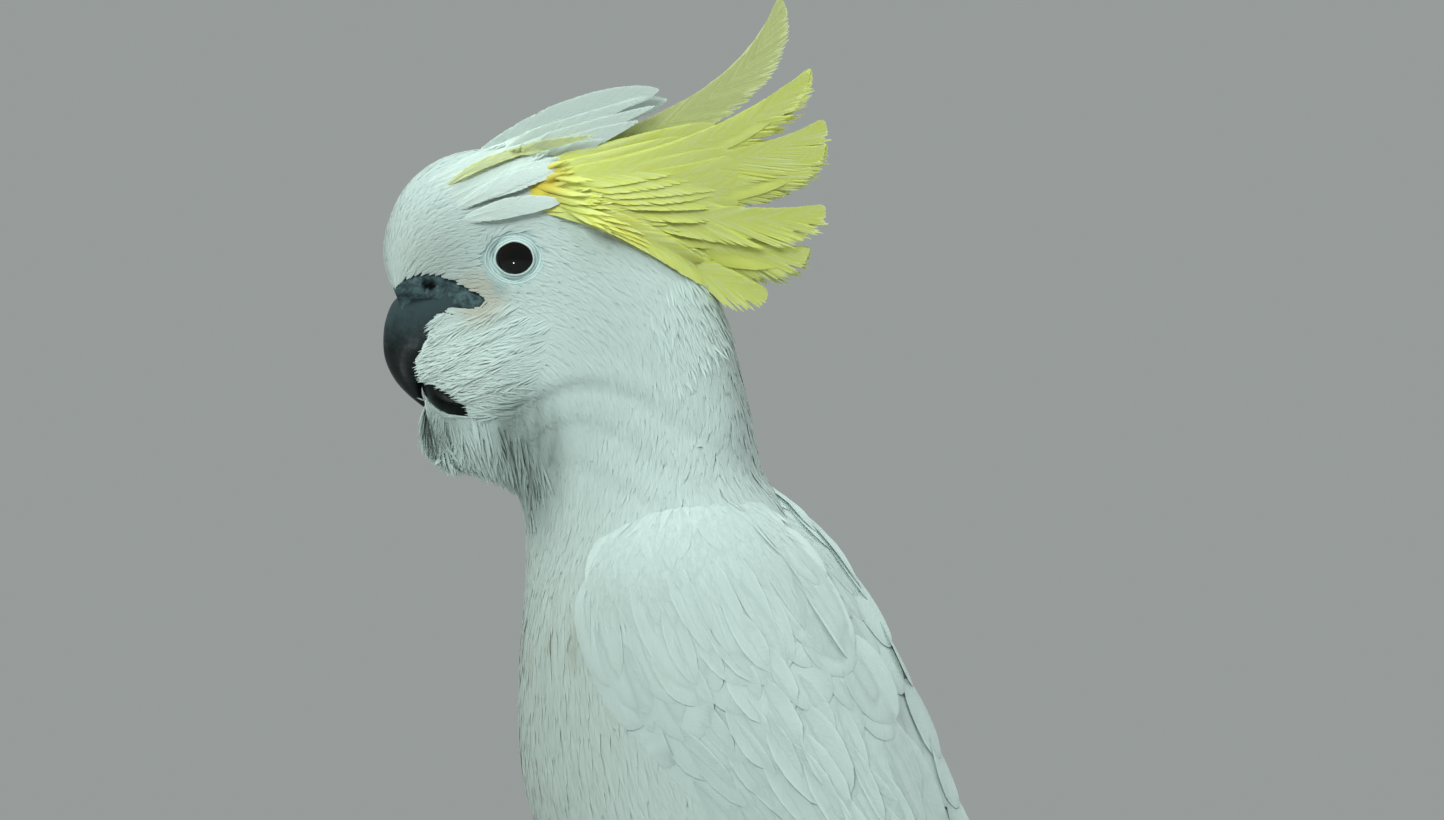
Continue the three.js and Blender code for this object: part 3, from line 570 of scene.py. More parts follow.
class Finish:
    """A material, the constants of its shader, and the nodes that feed it."""

    def __init__(self, name, constants):
        self.material = bpy.data.materials.new(name)
        self.material.use_nodes = True
        self.tree = self.material.node_tree
        self.shader = self.tree.nodes["Principled BSDF"]
        for socket, value in constants.items():
            self.shader.inputs[socket].default_value = value

    def node(self, kind, settings=None, inputs=None, output=0):
        """A node by its type, its settings, and the values or links of its sockets."""
        made = self.tree.nodes.new(kind)
        for key, value in (settings or {}).items():
            setattr(made, key, value)
        for key, value in (inputs or {}).items():
            if isinstance(value, Value):
                self.tree.links.new(value.socket, made.inputs[key])
            else:
                made.inputs[key].default_value = value
        return Value(self, made.outputs[output])

    def where(self, stretch=(1, 1, 1)):
        """Object coordinates in metres, stretched."""
        place = self.node("ShaderNodeTexCoord", output="Object")
        return self.node("ShaderNodeMapping", None, {"Vector": place, "Scale": stretch})

    def on_map(self, name, stretch=(1, 1, 1)):
        place = self.node("ShaderNodeUVMap", {"uv_map": name})
        return self.node("ShaderNodeMapping", None, {"Vector": place, "Scale": stretch})

    def attribute(self, name):
        return self.node("ShaderNodeAttribute", {"attribute_name": name}, output="Fac")

    def noise(self, place, scale, detail=3, rough=0.55, warp=0.0):
        inputs = {"Vector": place, "Scale": scale, "Detail": detail, "Roughness": rough, "Distortion": warp}
        return self.node("ShaderNodeTexNoise", None, inputs)

    def cells(self, place, scale, feature="F1", output="Distance"):
        inputs = {"Vector": place, "Scale": scale}
        return self.node("ShaderNodeTexVoronoi", {"feature": feature}, inputs, output)

    def ease(self, value, low, high, start=0.0, end=1.0):
        """start below low and end above high, with a smooth step between."""
        inputs = {"Value": value, "From Min": low, "From Max": high, "To Min": start, "To Max": end}
        return self.node("ShaderNodeMapRange", {"interpolation_type": "SMOOTHSTEP"}, inputs)

    def near(self, spot, reach, fade, stretch=(1, 1, 1)):
        """1 within reach of a spot in millimetres, and 0 beyond fade, measured in stretched space."""
        spot = [v * s * MM for v, s in zip((spot[0], spot[1], spot[2] + PERCH_TOP), stretch)]
        ends = {0: self.where(stretch), 1: spot}
        apart = self.node("ShaderNodeVectorMath", {"operation": "DISTANCE"}, ends, "Value")
        return self.ease(apart, reach * MM, fade * MM, 1.0, 0.0)

    def near_sides(self, spot, *reach):
        """near, for a spot of the turned head and its mirror image."""
        left, right = (from_head(np.array(spot) * [1, k, 1]) for k in (1, -1))
        return self.near(left, *reach) + self.near(right, *reach)

    def mix(self, share, first, second, blend="MIX"):
        """The share of the second colour over the first."""
        first, second = (c if isinstance(c, Value) else (*c, 1.0) for c in (first, second))
        settings = {"data_type": "RGBA", "blend_type": blend}
        return self.node("ShaderNodeMix", settings, {0: share, 6: first, 7: second}, 2)

    def bump(self, height, strength, depth):
        """A normal from a height field whose full range is depth millimetres."""
        inputs = {"Height": height, "Strength": strength, "Distance": depth * MM}
        return self.node("ShaderNodeBump", None, inputs)

    def over(self, first, second, value, *span):
        """The second colour over the first by ease(value, *span)."""
        return self.mix(self.ease(value, *span), first, second)

    def cover(self, colour, roughness, relief):
        """The finished material, with roughness by ease and relief by bump."""
        sockets = {"Base Color": colour, "Roughness": self.ease(*roughness), "Normal": self.bump(*relief)}
        return self.feed(sockets)

    def feed(self, sockets):
        for name, value in sockets.items():
            self.tree.links.new(value.socket, self.shader.inputs[name])
        return self.material


BACKDROP = (0.31, 0.335, 0.325)
# the plumage's white, with a green-cyan tint painted in for the green light of the surroundings
WHITE = (0.77, 0.85, 0.82)
# a lighter white for the crest's lobes: painted light, making up for the light they miss where they face
# sideways and up
CREST_WHITE_PAINTED_LIGHTER = (0.88, 0.95, 0.90)
# a greyer white: painted shade at the feathers' roots, and their random grey tone
GREY_TONE_AND_SHADE = (0.61, 0.68, 0.66)
WARM_LORE = (0.62, 0.47, 0.32)
SOIL = (0.50, 0.42, 0.31)
# the breast's darker tint: painted shade, with some soil
BREAST_SHADE_AND_SOIL = (0.42, 0.40, 0.31)
BLUISH = (0.42, 0.54, 0.56)
# near-black painted shade for throat and chin, with some grime on the throat
PAINTED_SHADE_AND_GRIME = (0.085, 0.115, 0.095)
LEMON = (0.84, 0.84, 0.15)
PALE_LEMON = (0.86, 0.88, 0.36)
DULL_LEMON = (0.68, 0.69, 0.27)
OLIVE = (0.60, 0.60, 0.22)
PALE_OLIVE = (0.66, 0.68, 0.40)
GOLD = (0.80, 0.58, 0.05)

# Spots of the head in its own coordinates, and one on the breast, in millimetres.
LORE_SPOT = (-77.0, -14.0, 296.0)
FOREHEAD_SPOT = (-100.0, -8.0, 312.0)
CHEEK_SPOT = (-88.0, -20.0, 270.0)
THROAT_SPOT = (-60.4, -21.2, 237.0)
UNDER_EYE_SPOT = (-69.5, -17.0, 301.0)
CHIN_SPOT = (-91.0, -10.0, 250.0)
GOLD_SPOT = (-58.0, -14.0, 336.5)
LOW_GOLD_SPOT = (-28.0, -16.0, 320.0)
BREAST_SPOT = (-52.0, -20.0, 145.0)


def soil_and_shade(finish, colour, breast=0.45):
    """The markings of skin and coat: a warm lore, a bluish patch under the eye, soil on forehead
    and cheek, soil and painted shade on the breast, and painted shade on throat and chin, with some
    grime on the throat."""
    patches = finish.ease(finish.noise(finish.where(), 38, 4, 0.6), 0.42, 0.72)
    streaks = finish.ease(finish.noise(finish.where((1.0, 1.0, 0.25)), 190, 3, 0.6), 0.4, 0.8)
    lore = finish.near_sides(LORE_SPOT, 4, 15) * (0.5 + 0.4 * patches)
    brow = finish.near_sides(FOREHEAD_SPOT, 6, 24) * 0.16
    cheek = finish.near_sides(CHEEK_SPOT, 6, 26) * 0.08
    # painted shade over the breast, with soil in patches and streaks
    breast_shade_and_soil = finish.near(BREAST_SPOT, 20, 100) * (patches * streaks + 0.7) * breast
    # painted shade under the cheek, down the throat, with some grime in streaks
    throat = finish.near_sides(THROAT_SPOT, 5, 21, (1, 0.6, 0.5)) * (0.5 + 0.45 * streaks)
    # painted shade on the chin, under the bill
    chin = finish.near_sides(CHIN_SPOT, 3, 14) * 0.36
    under_eye = finish.near_sides(UNDER_EYE_SPOT, 1, 6) * 0.6
    marks = {WARM_LORE: lore, SOIL: brow + cheek, BREAST_SHADE_AND_SOIL: breast_shade_and_soil, BLUISH: under_eye, PAINTED_SHADE_AND_GRIME: throat + chin}
    for mark, share in marks.items():
        colour = finish.mix(share, colour, mark)
    return colour


SOFT_PLUMAGE = {
    "Specular IOR Level": 0.2, "Sheen Weight": 0.1, "Sheen Roughness": 0.5,
    "Subsurface Weight": 0.35, "Subsurface Scale": 0.0022, "Subsurface Radius": (1.0, 0.95, 0.9),
}


def plumage(name, strands=20.0, relief=0.28, under_tint=WHITE, shaded=0.35, breast=0.0, white=WHITE):
    """White feathers: each a little lighter or greyer than the next, greyer at the root as painted
    shade, and ribbed along its barbs."""
    finish = Finish(name, SOFT_PLUMAGE)
    barbs = finish.noise(finish.on_map("Barb", (2.5, strands, 1)), 1.0, 2, 0.6)
    tone, tip, under = (finish.attribute(n) for n in ("tone", "tip", "under"))
    # painted shade: each feather darker towards its root, under the next ones
    colour = finish.over(white, GREY_TONE_AND_SHADE, tip, 0.0, 0.7, shaded, 0.0)
    colour = finish.mix(tone * 0.16 + finish.ease(barbs, 0.35, 0.75) * 0.10, colour, GREY_TONE_AND_SHADE)
    colour = soil_and_shade(finish, finish.mix(under, colour, under_tint), breast)
    return finish.cover(colour, (barbs, 0.2, 0.8, 0.54, 0.72), (barbs, 0.4, relief))


def down(name):
    """The skin under the feathers: the same colour, markings and painted shade, with a fine downy grain."""
    finish = Finish(name, SOFT_PLUMAGE)
    grain = finish.noise(finish.where(), 900, 4, 0.65)
    colour = soil_and_shade(finish, finish.over(WHITE, GREY_TONE_AND_SHADE, grain, 0.3, 0.7, 0.0, 0.35))
    return finish.cover(colour, (grain, 0.2, 0.8, 0.65, 0.85), (grain, 0.4, 0.3))


def crest_yellow(name, body=LEMON, dull=0.12, root=GOLD):
    """Yellow feathers, golden round two spots by their roots, some paler, and duller in streaks."""
    finish = Finish(name, {**SOFT_PLUMAGE, "Subsurface Radius": (1.0, 0.95, 0.5)})
    barbs = finish.noise(finish.on_map("Barb", (1.2, 24, 1)), 1.0, 3, 0.65)
    golden = finish.near_sides(GOLD_SPOT, 5, 19) + finish.near_sides(LOW_GOLD_SPOT, 3, 22) * 0.3
    colour = finish.mix(golden, body, root)
    colour = finish.mix(finish.attribute("tone") * 0.75 * (1 - golden * 0.8), colour, PALE_LEMON)
    colour = finish.over(colour, OLIVE, barbs, 0.42, 0.75, 0.0, dull)
    return finish.cover(colour, (barbs, 0.2, 0.8, 0.5, 0.7), (barbs, 0.35, 0.15))


def bare_skin(name):
    """The pale bluish skin round the eye, with painted shade between its folds' ridges, and a fine pebbled
    grain.
    """
    soft = {"Specular IOR Level": 0.35, "Subsurface Weight": 0.12, "Subsurface Scale": 0.002}
    finish = Finish(name, soft)
    grain = finish.cells(finish.where(), 1900)
    mottle = finish.noise(finish.where(), 420, 3, 0.6)
    # painted shade: dark between the folds, pale on their ridges
    colour = finish.over((0.46, 0.55, 0.55), (0.76, 0.84, 0.82), finish.attribute("fold"), 0.1, 0.8)
    colour = finish.over(colour, (0.50, 0.62, 0.65), mottle, 0.4, 0.75, 0.0, 0.35)
    return finish.cover(colour, (mottle, 0.2, 0.8, 0.42, 0.62), (grain, 0.5, 0.25))


def eyeball(name):
    """A wet near-black eye: a dark brown iris with fine spokes round a black pupil."""
    finish = Finish(name, {"Roughness": 0.05, "Specular IOR Level": 0.27})
    spokes = finish.noise(finish.on_map("Iris", (60, 3, 1)), 1.0, 3, 0.6)
    brown = finish.over((0.002, 0.0012, 0.0008), (0.006, 0.0035, 0.002), spokes, 0.3, 0.7)
    return finish.feed({"Base Color": finish.mix(finish.attribute("iris"), (0.002, 0.002, 0.002), brown)})


def horn(name):
    """The bill's dark horn: blue-grey towards its root, with growth lines and scratches."""
    finish = Finish(name, {"Specular IOR Level": 0.24})
    blotches = finish.noise(finish.where(), 310, 5, 0.65)
    lines = finish.noise(finish.on_map("Growth", (1.0, 9.0, 1)), 3.0, 4, 0.6)
    scratches = finish.noise(finish.on_map("Growth", (26.0, 1.2, 1)), 2.2, 4, 0.7, 0.4)
    grown = finish.attribute("grown") + (blotches - 0.5) * 0.35
    colour = finish.over((0.004, 0.006, 0.0065), (0.013, 0.016, 0.017), lines, 0.4, 0.7, 0.0, 0.5)
    colour = finish.over(colour, (0.07, 0.08, 0.082), scratches, 0.6, 0.8, 0.0, 0.3)
    colour = finish.over(colour, (0.055, 0.082, 0.092), grown, 0.12, 0.55, 0.8, 0.0)
    rough = (blotches + scratches * 0.3, 0.3, 0.95, 0.26, 0.5)
    return finish.cover(colour, rough, (lines + scratches * 0.5, 0.35, 0.3))


def cere_skin(name):
    """The powdery blue-grey cere, pebbled and mottled, with painted shade near black in the nostril."""
    finish = Finish(name, {"Specular IOR Level": 0.3})
    pebbles = finish.cells(finish.where(), 1300)
    mottle = finish.noise(finish.where(), 380, 4, 0.65)
    colour = finish.over((0.030, 0.048, 0.054), (0.10, 0.155, 0.17), mottle, 0.35, 0.7)
    # painted shade: the nostril's hollow near black
    colour = finish.mix(finish.attribute("hollow"), colour, (0.006, 0.007, 0.008))
    return finish.cover(colour, (mottle, 0.2, 0.8, 0.55, 0.78), (pebbles, 0.5, 0.3))


def scaly_skin(name):
    """Grey feet: scutes with pale dry edges over darker skin."""
    finish = Finish(name, {"Specular IOR Level": 0.35})
    scales = finish.cells(finish.where(), 620, "DISTANCE_TO_EDGE")
    mottle = finish.noise(finish.where(), 300, 4, 0.6)
    colour = finish.over((0.045, 0.045, 0.046), (0.135, 0.135, 0.138), scales, 0.02, 0.2)
    colour = finish.over(colour, (0.26, 0.26, 0.255), mottle, 0.5, 0.8, 0.0, 0.6)
    return finish.cover(colour, (mottle, 0.2, 0.8, 0.5, 0.75), (finish.ease(scales, 0.0, 0.22), 0.7, 0.45))


def claw_horn(name):
    """Near-black claws with paler streaks."""
    finish = Finish(name, {"Specular IOR Level": 0.5})
    streak = finish.noise(finish.where(), 700, 4, 0.65)
    colour = finish.over((0.018, 0.017, 0.016), (0.085, 0.080, 0.074), streak, 0.35, 0.75)
    return finish.cover(colour, (streak, 0.2, 0.8, 0.28, 0.5), (streak, 0.3, 0.15))


def bark(name):
    """Grey-brown bark with cracks along the branch, lichen spots, and ringed wood at the cut ends."""
    finish = Finish(name, {"Specular IOR Level": 0.2})
    cut = finish.attribute("cut")
    grain = finish.noise(finish.where((1.0, 0.18, 1.0)), 260, 6, 0.65, 0.3)
    cracks = finish.cells(finish.where((1.0, 0.22, 1.0)), 210, "DISTANCE_TO_EDGE")
    spots = finish.noise(finish.where(), 95, 4, 0.6)
    colour = finish.over((0.060, 0.044, 0.032), (0.215, 0.175, 0.135), grain, 0.3, 0.7)
    colour = finish.over(colour, (0.022, 0.016, 0.012), cracks, 0.0, 0.09, 0.85, 0.0)
    colour = finish.over(colour, (0.30, 0.31, 0.255), spots, 0.56, 0.66, 0.0, 0.65)
    waves = {"Vector": finish.where(), "Scale": 290, "Distortion": 1.6, "Detail": 3, "Detail Scale": 0.6}
    rings = finish.node("ShaderNodeTexWave", {"wave_type": "RINGS", "rings_direction": "Y"}, waves, "Fac")
    wood = finish.over((0.50, 0.36, 0.21), (0.64, 0.49, 0.31), rings, 0.2, 0.9)
    height = finish.mix(cut, grain + finish.ease(cracks, 0.0, 0.12), rings * 0.3)
    return finish.cover(finish.mix(cut, colour, wood), (grain, 0.2, 0.8, 0.72, 0.92), (height, 0.8, 1.4))


def walnut(name):
    """Oiled walnut: long grain with darker bands and open pores."""
    finish = Finish(name, {"Specular IOR Level": 0.45})
    bands = finish.noise(finish.where((0.22, 1.6, 1.6)), 26, 5, 0.55, 0.8)
    pores = finish.noise(finish.where((0.05, 1.0, 1.0)), 1500, 3, 0.7)
    colour = finish.over((0.052, 0.026, 0.013), (0.175, 0.092, 0.045), bands, 0.32, 0.68)
    colour = finish.over(colour, (0.026, 0.013, 0.007), pores, 0.58, 0.75, 0.0, 0.6)
    return finish.cover(colour, (pores, 0.3, 0.7, 0.34, 0.52), (pores, 0.25, 0.15))


def brushed_steel(name):
    finish = Finish(name, {"Metallic": 1.0})
    brushing = finish.noise(finish.where((1.0, 1.0, 0.03)), 3000, 3, 0.7)
    colour = finish.over((0.42, 0.42, 0.43), (0.56, 0.56, 0.57), brushing, 0.3, 0.7)
    return finish.cover(colour, (brushing, 0.25, 0.75, 0.24, 0.4), (brushing, 0.12, 0.05))


# ---------- the head's openings ----------

# Outlines in the head's middle plane, where feathers leave the cere and the corner of the bill bare.
CERE_OUTLINE = np.array([
    (-118, 279), (-118, 299), (-108.4, 299.3), (-105.9, 302.6), (-100.4, 304.4), (-93.1, 304.8),
    (-85.8, 301.5), (-78.5, 297.1), (-73.7, 294.2), (-80.3, 292.4), (-88.7, 292.7), (-93.1, 290.5),
    (-96.4, 286.5), (-97.5, 279),
], float)
GAPE_OUTLINE = np.array([
    (-118, 281), (-98, 281), (-97, 278.3), (-99, 276.3), (-100.8, 273.1), (-100.5, 270.1),
    (-99.6, 266.5), (-91.2, 263.5), (-86.6, 260.2), (-82.4, 256.2), (-79.4, 253.2), (-88.4, 253.4),
    (-94.0, 256.0), (-98.0, 259.6), (-101, 262), (-118, 266),
], float)
CERE_BAND = np.array([  # the cere proper, above the horn
    (-118, 299), (-108.4, 299.3), (-105.9, 302.6), (-100.4, 304.4), (-93.1, 304.8), (-85.8, 301.5),
    (-78.5, 297.1), (-73.7, 294.2), (-80.3, 292.0), (-88, 293.6), (-93.4, 295.4), (-103, 297.8),
    (-110, 297.5),
])
CERE_SINK = 0.5
EYE_DIP, CERE_DIP, GAPE_DIP = 5.5, 6.0, 16.0  # how far the skin is drawn in behind each opening
LID_CENTRE = np.array([-64.8, 310.6])
NOSTRIL = (-96.0, 301.0)


def eye_ratio(p):
    """A head point's distance from the middle of the eye's ring, as a share of the ring's size."""
    return np.hypot((p[..., 0] - LID_CENTRE[0]) / LID_RING[0], (p[..., 2] - LID_CENTRE[1]) / LID_RING[1])


def outline_depth(outline, p):
    """How far inside an outline a head point lies: its least distance to the outline's sides."""
    at = p[..., [0, 2]][..., None, :]
    run = np.roll(outline, -1, axis=0) - outline
    share = np.clip(dot(at - outline, run) / dot(run, run), 0, 1)
    gap = np.linalg.norm(at - outline - run * share[..., None], axis=-1).min(-1)
    return np.where(inside(outline, p[..., 0], p[..., 2]), gap, -gap)


def quadratic(x, z):
    return np.stack([np.ones_like(x), x, z, x * x, x * z, z * z], -1)


def side_height(side):
    """The head's side near the eye as a quadratic in x and height, fitted to the surface."""
    u = (FULL_TURN if side < 0 else 0) + side * np.linspace(0.7, 2.2, 60)
    p = to_head(body_point(np.linspace(2.5, 8.5, 60)[:, None], u[None, :])).reshape(-1, 3)
    d = p[:, [0, 2]] - LID_CENTRE
    near = np.hypot(*d.T) < 17
    fitted = np.linalg.lstsq(quadratic(*d[near].T), p[near, 1], rcond=None)[0]
    return lambda x, z: quadratic(x, z) @ fitted


# ---------- skin ----------


def coat_depth(t):
    """How far the skin lies under the coat: thin on the face, thicker over neck and trunk."""
    return FACE_COAT_DEPTH + (COAT_DEPTH - FACE_COAT_DEPTH) * smoothstep(4.5, 9.5, t)


def drawn_in(head, dip):
    """Moves points of the head towards its middle plane by dip, and no further than the plane."""
    head[..., 1] -= np.sign(head[..., 1]) * np.minimum(dip, np.abs(head[..., 1]))


def skin_shells():
    """The body drawn in by the coat's depth, with dips at eyes, cere and bill, and a tapering tube
    down each thigh."""
    t = np.concatenate([np.linspace(0.05, 8, 90), np.linspace(8.1, BODY_END, 90)])[:, None]
    u = round_angles(96)[None, :]
    body = body_point(t, u, -coat_depth(t))
    head = to_head(body)
    dip = EYE_DIP * smoothstep(1.05, 0.55, eye_ratio(head)) * (t < 9)
    dip = dip + CERE_DIP * smoothstep(-2.0, 1.0, outline_depth(CERE_OUTLINE, head)) * (t < 6)
    dip = dip + GAPE_DIP * smoothstep(-1.5, 1.0, outline_depth(GAPE_OUTLINE, head)) * (t < 6)
    drawn_in(head, dip)
    shells = [np.where((t < 9)[..., None], from_head(head), body)]
    f = np.linspace(-0.24, 1, 30)
    for _, side in SIDES:
        path = (THIGH_TOP + (THIGH_END - THIGH_TOP) * f[:, None]) * [1, side, 1]
        shells.append(tube(path, np.maximum(thigh_radius(f) - THIGH_COAT, 0.3), 28))
    return shells


def eye_ring(side):
    """The bare ring: a closed band round the eye.

    In polar coordinates about the lids' middle, profile share v runs from under the lid, over its
    rim, out over three folds to the ring's edge, and back beneath. Its height is the eyeball's at
    the lid and eases into the head's side at the edge.
    """
    fit = side_height(side)
    v = np.concatenate([[-0.12, -0.06], np.linspace(0, 1.22, 54), [1.25, 1.1, 0.5, 0.0]])
    drop = np.concatenate([[1.6, 0.7], np.zeros(54), [1.2, 3.0, 3.4, 2.6]])
    a = round_angles(120)
    v, a = np.meshgrid(v, a, indexing="ij")
    lid = np.clip(v, 0, 1.22)
    wave = 0.025 * np.sin(3 * a + 1.0) + 0.02 * np.sin(7 * a)
    half_x = LID_OPENING[0] + (LID_RING[0] - LID_OPENING[0]) * v
    half_z = LID_OPENING[1] + (LID_RING[1] - LID_OPENING[1]) * v
    x = half_x * np.cos(a)
    z = half_z * np.sin(a) * (1 - 0.05 * np.abs(np.cos(a)))
    ball_x, ball_z = x + LID_CENTRE[0] - EYE[0], z + LID_CENTRE[1] - EYE[2]
    ball = EYE[1] + np.sqrt(np.maximum(EYE_RADIUS**2 - ball_x**2 - ball_z**2, 1.0)) + 0.35
    flat = np.abs(fit(x, z)) - 0.45
    ease = smoothstep(0.05, 0.85, lid)
    folds = 0.42 * bump(lid + wave, 0.07, 0.06) + 0.30 * bump(lid + wave, 0.3, 0.055)
    folds = folds + 0.30 * bump(lid - wave, 0.52, 0.06) + 0.26 * bump(lid + wave, 0.76, 0.06) - 0.15
    y = ball * (1 - ease) + flat * ease + folds * (1 - smoothstep(0.9, 1.0, lid)) - drop[:, None]
    points = np.stack([x + LID_CENTRE[0], side * y, z + LID_CENTRE[1]], -1)
    return from_head(points), np.clip((folds + 0.15) / 0.42, 0, 1)


def ball(centre, radius, rows=40, columns=64):
    """A sphere by polar angle from -Y and turn about it, with its poles as tiny rings."""
    polar = np.linspace(0.01, math.pi - 0.01, rows)
    polar, turn = np.meshgrid(polar, round_angles(columns), indexing="ij")
    cast = np.stack([np.sin(polar) * np.cos(turn), -np.cos(polar), np.sin(polar) * np.sin(turn)], -1)
    return centre + radius * cast, polar, turn


def make_skin():
    points, faces = joined(skin_shells())
    flesh = ("head", "neck", "trunk", "thigh_left", "thigh_right")
    make_object("skin", points, down("downy_skin"), flesh, faces)
    ring_finish, ball_finish = bare_skin("bare_eye_skin"), eyeball("wet_eye")
    for name, side in SIDES:
        ring, folds = eye_ring(side)
        make_object(f"eye_ring_{name}", ring, ring_finish, (), [quads(*folds.shape, 1)],
                    None, {"fold": folds})
        points, polar, turn = ball(EYE * [1, side, 1], EYE_RADIUS - 0.05)
        out = math.pi - polar if side > 0 else polar
        iris = smoothstep(0.36, 0.40, out) * smoothstep(0.86, 0.78, out)
        spokes = np.stack([turn / FULL_TURN, out], -1)
        make_object(f"eyeball_{name}", from_head(points), ball_finish, (f"eye_{name}",), None,
                    {"Iris": spokes}, {"iris": iris})


# ---------- bill ----------

# Bill sections from root to tip: outer edge x and height, inner edge x and height, half width.
UPPER_BILL = np.array([
    [-103, 300, -72, 295, 11.6], [-109.3, 295.5, -77.5, 289.5, 12.0], [-112.4, 288.5, -82.5, 282.5, 11.8],
    [-113.3, 281, -88.6, 276.5, 10.6], [-112.5, 273.8, -97.7, 272, 7.9], [-109.2, 266.8, -98.9, 266.2, 6],
    [-104.4, 261.3, -99.2, 261.6, 3.6], [-98.6, 256.6, -97.8, 257.4, 0.8],
])
LOWER_BILL = np.array([
    [-72, 250.5, -71, 262.5, 9], [-81, 251, -77.5, 263.5, 10], [-89, 253.4, -83, 265.5, 10.4],
    [-95.2, 257.6, -88.5, 268, 10], [-98.8, 263, -93, 270.3, 8.6], [-99.8, 268.5, -96.8, 271.8, 5.8],
])


def bill_shell(table, rows, columns, fullness, keel):
    """A bill half: at each station a ring from outer to inner edge, its sides |sin u| to the power
    fullness, with a soft keel along the outer edge."""
    t = np.linspace(0, len(table) - 1, rows)
    v = spline(table, t)[:, None]
    u = round_angles(columns)[None, :]
    cosine, sine = np.cos(u), np.sin(u)
    mid_x, mid_z = (v[..., 0] + v[..., 2]) / 2, (v[..., 1] + v[..., 3]) / 2
    half_x, half_z = (v[..., 0] - v[..., 2]) / 2, (v[..., 1] - v[..., 3]) / 2
    pinch = 1 - keel * np.maximum(0, cosine) ** 3
    y = v[..., 4] * np.sign(sine) * np.abs(sine) ** fullness * pinch
    points = np.stack([mid_x + half_x * cosine, y, mid_z + half_z * cosine], -1)
    share = np.broadcast_to(t[:, None] / t[-1], points.shape[:2])
    growth = np.stack([np.broadcast_to(u / FULL_TURN, share.shape), share], -1)
    return from_head(points), share, growth


def make_bill():
    finish = horn("bill_horn")
    for name, table, rows, keel in (("upper", UPPER_BILL, 80, 0.2), ("lower", LOWER_BILL, 50, 0.05)):
        points, share, growth = bill_shell(table, rows, 56, 0.66, keel)
        grown = share if name == "upper" else 0.75 + 0.2 * share
        make_object(f"bill_{name}_horn", points, finish, (f"bill_{name}",), None,
                    {"Growth": growth}, {"grown": grown})


def make_cere():
    """The band between bill and coat, with a rimmed nostril, sunk away below the cere's edge."""
    t, u = np.linspace(0.0, 5.2, 120)[:, None], round_angles(200)[None, :]
    band = to_head(body_point(t, u, -CERE_SINK))
    spot = np.hypot((band[..., 0] - NOSTRIL[0]) * 0.8, (band[..., 2] - NOSTRIL[1]) * 1.3)
    rim, hollow = 0.9 * bump(spot, 3.3, 1.2), 3.0 * smoothstep(2.5, 1.3, spot)
    sink = 4.5 * smoothstep(0.6, -2.2, outline_depth(CERE_BAND, band)) + hollow - rim
    sink = sink + GAPE_DIP * smoothstep(-2.0, 1.0, outline_depth(GAPE_OUTLINE, band))
    drawn_in(band, sink)
    make_object("cere_skin", from_head(band), cere_skin("cere_skin"), ("cere",), None,
                None, {"hollow": smoothstep(2.3, 1.3, spot)})


# ---------- coat ----------

# Feather shapes: the half width, as a share, at each share of the length.
TUFT = [(0, 0.35), (0.28, 0.95), (0.55, 1.0), (0.78, 0.66), (1, 0.06)]
COVERT = [
    (0, 0.3), (0.1, 0.62), (0.25, 0.88), (0.42, 1.0), (0.58, 1.0), (0.7, 0.95), (0.79, 0.86), (0.86, 0.74),
    (0.915, 0.6), (0.955, 0.44), (0.985, 0.26), (1, 0.06),
]
FLIGHT = [
    (0, 0.3), (0.08, 0.6), (0.2, 0.85), (0.35, 0.97), (0.5, 1.0), (0.64, 1.0), (0.76, 0.96), (0.84, 0.88),
    (0.9, 0.78), (0.94, 0.64), (0.97, 0.47), (0.99, 0.28), (1, 0.06),
]
PLUME = [(0, 0.55), (0.4, 1.0), (0.75, 0.75), (1, 0.08)]

# The line on the head's side, by x and height, where the crest comes out of the coat.
CREST_LINE = np.array([
    (-70.0, 342.0), (-65.4, 338.5), (-49.0, 330.0), (-32.1, 323.0), (-13.9, 317.0), (-2.9, 308.4),
    (9.0, 296.6),
]).T
COAT_PARTS = {  # between stations
    "face": (0.02, 4.6), "crown": (4.6, 8.4), "neck": (8.4, 13.4), "trunk": (13.4, 22.9),
}


def coarseness(p):
    """0 on the face and 1 on breast and back: tufts grow with it."""
    head = to_head(p)
    apart = np.linalg.norm(head - np.array([-84, 0, 296]), axis=-1)
    return smoothstep(24, 135, apart)


def between(low, high):
    """A size that grows from low on the face to high on the trunk."""
    return lambda p: low + (high - low) * coarseness(p)


def head_lie(point, way, normal):
    """Feathers lie back from the bill, part round the eye, and turn forwards and down on the cheek."""
    p = to_head(point)
    fluff = bump(np.hypot(p[..., 0] + 90, p[..., 2] - 272), 0, 17)[:, None]
    way = unit(way * (1 - fluff) + turned_way(np.array([-0.72, 0.0, -0.69])) * fluff * 1.3)
    inward = np.stack([LID_CENTRE[0] - p[..., 0], 0 * p[..., 0], LID_CENTRE[1] - p[..., 2]], -1)
    inward = unit(turned_way(inward))
    close = smoothstep(1.9, 1.05, eye_ratio(p))[:, None] * (np.abs(p[..., 1]) > 8)[:, None]
    return way - inward * np.maximum(dot(way, inward), 0)[:, None] * close


def above_crest_line(p):
    return p[:, 2] - np.interp(p[:, 0], *CREST_LINE)


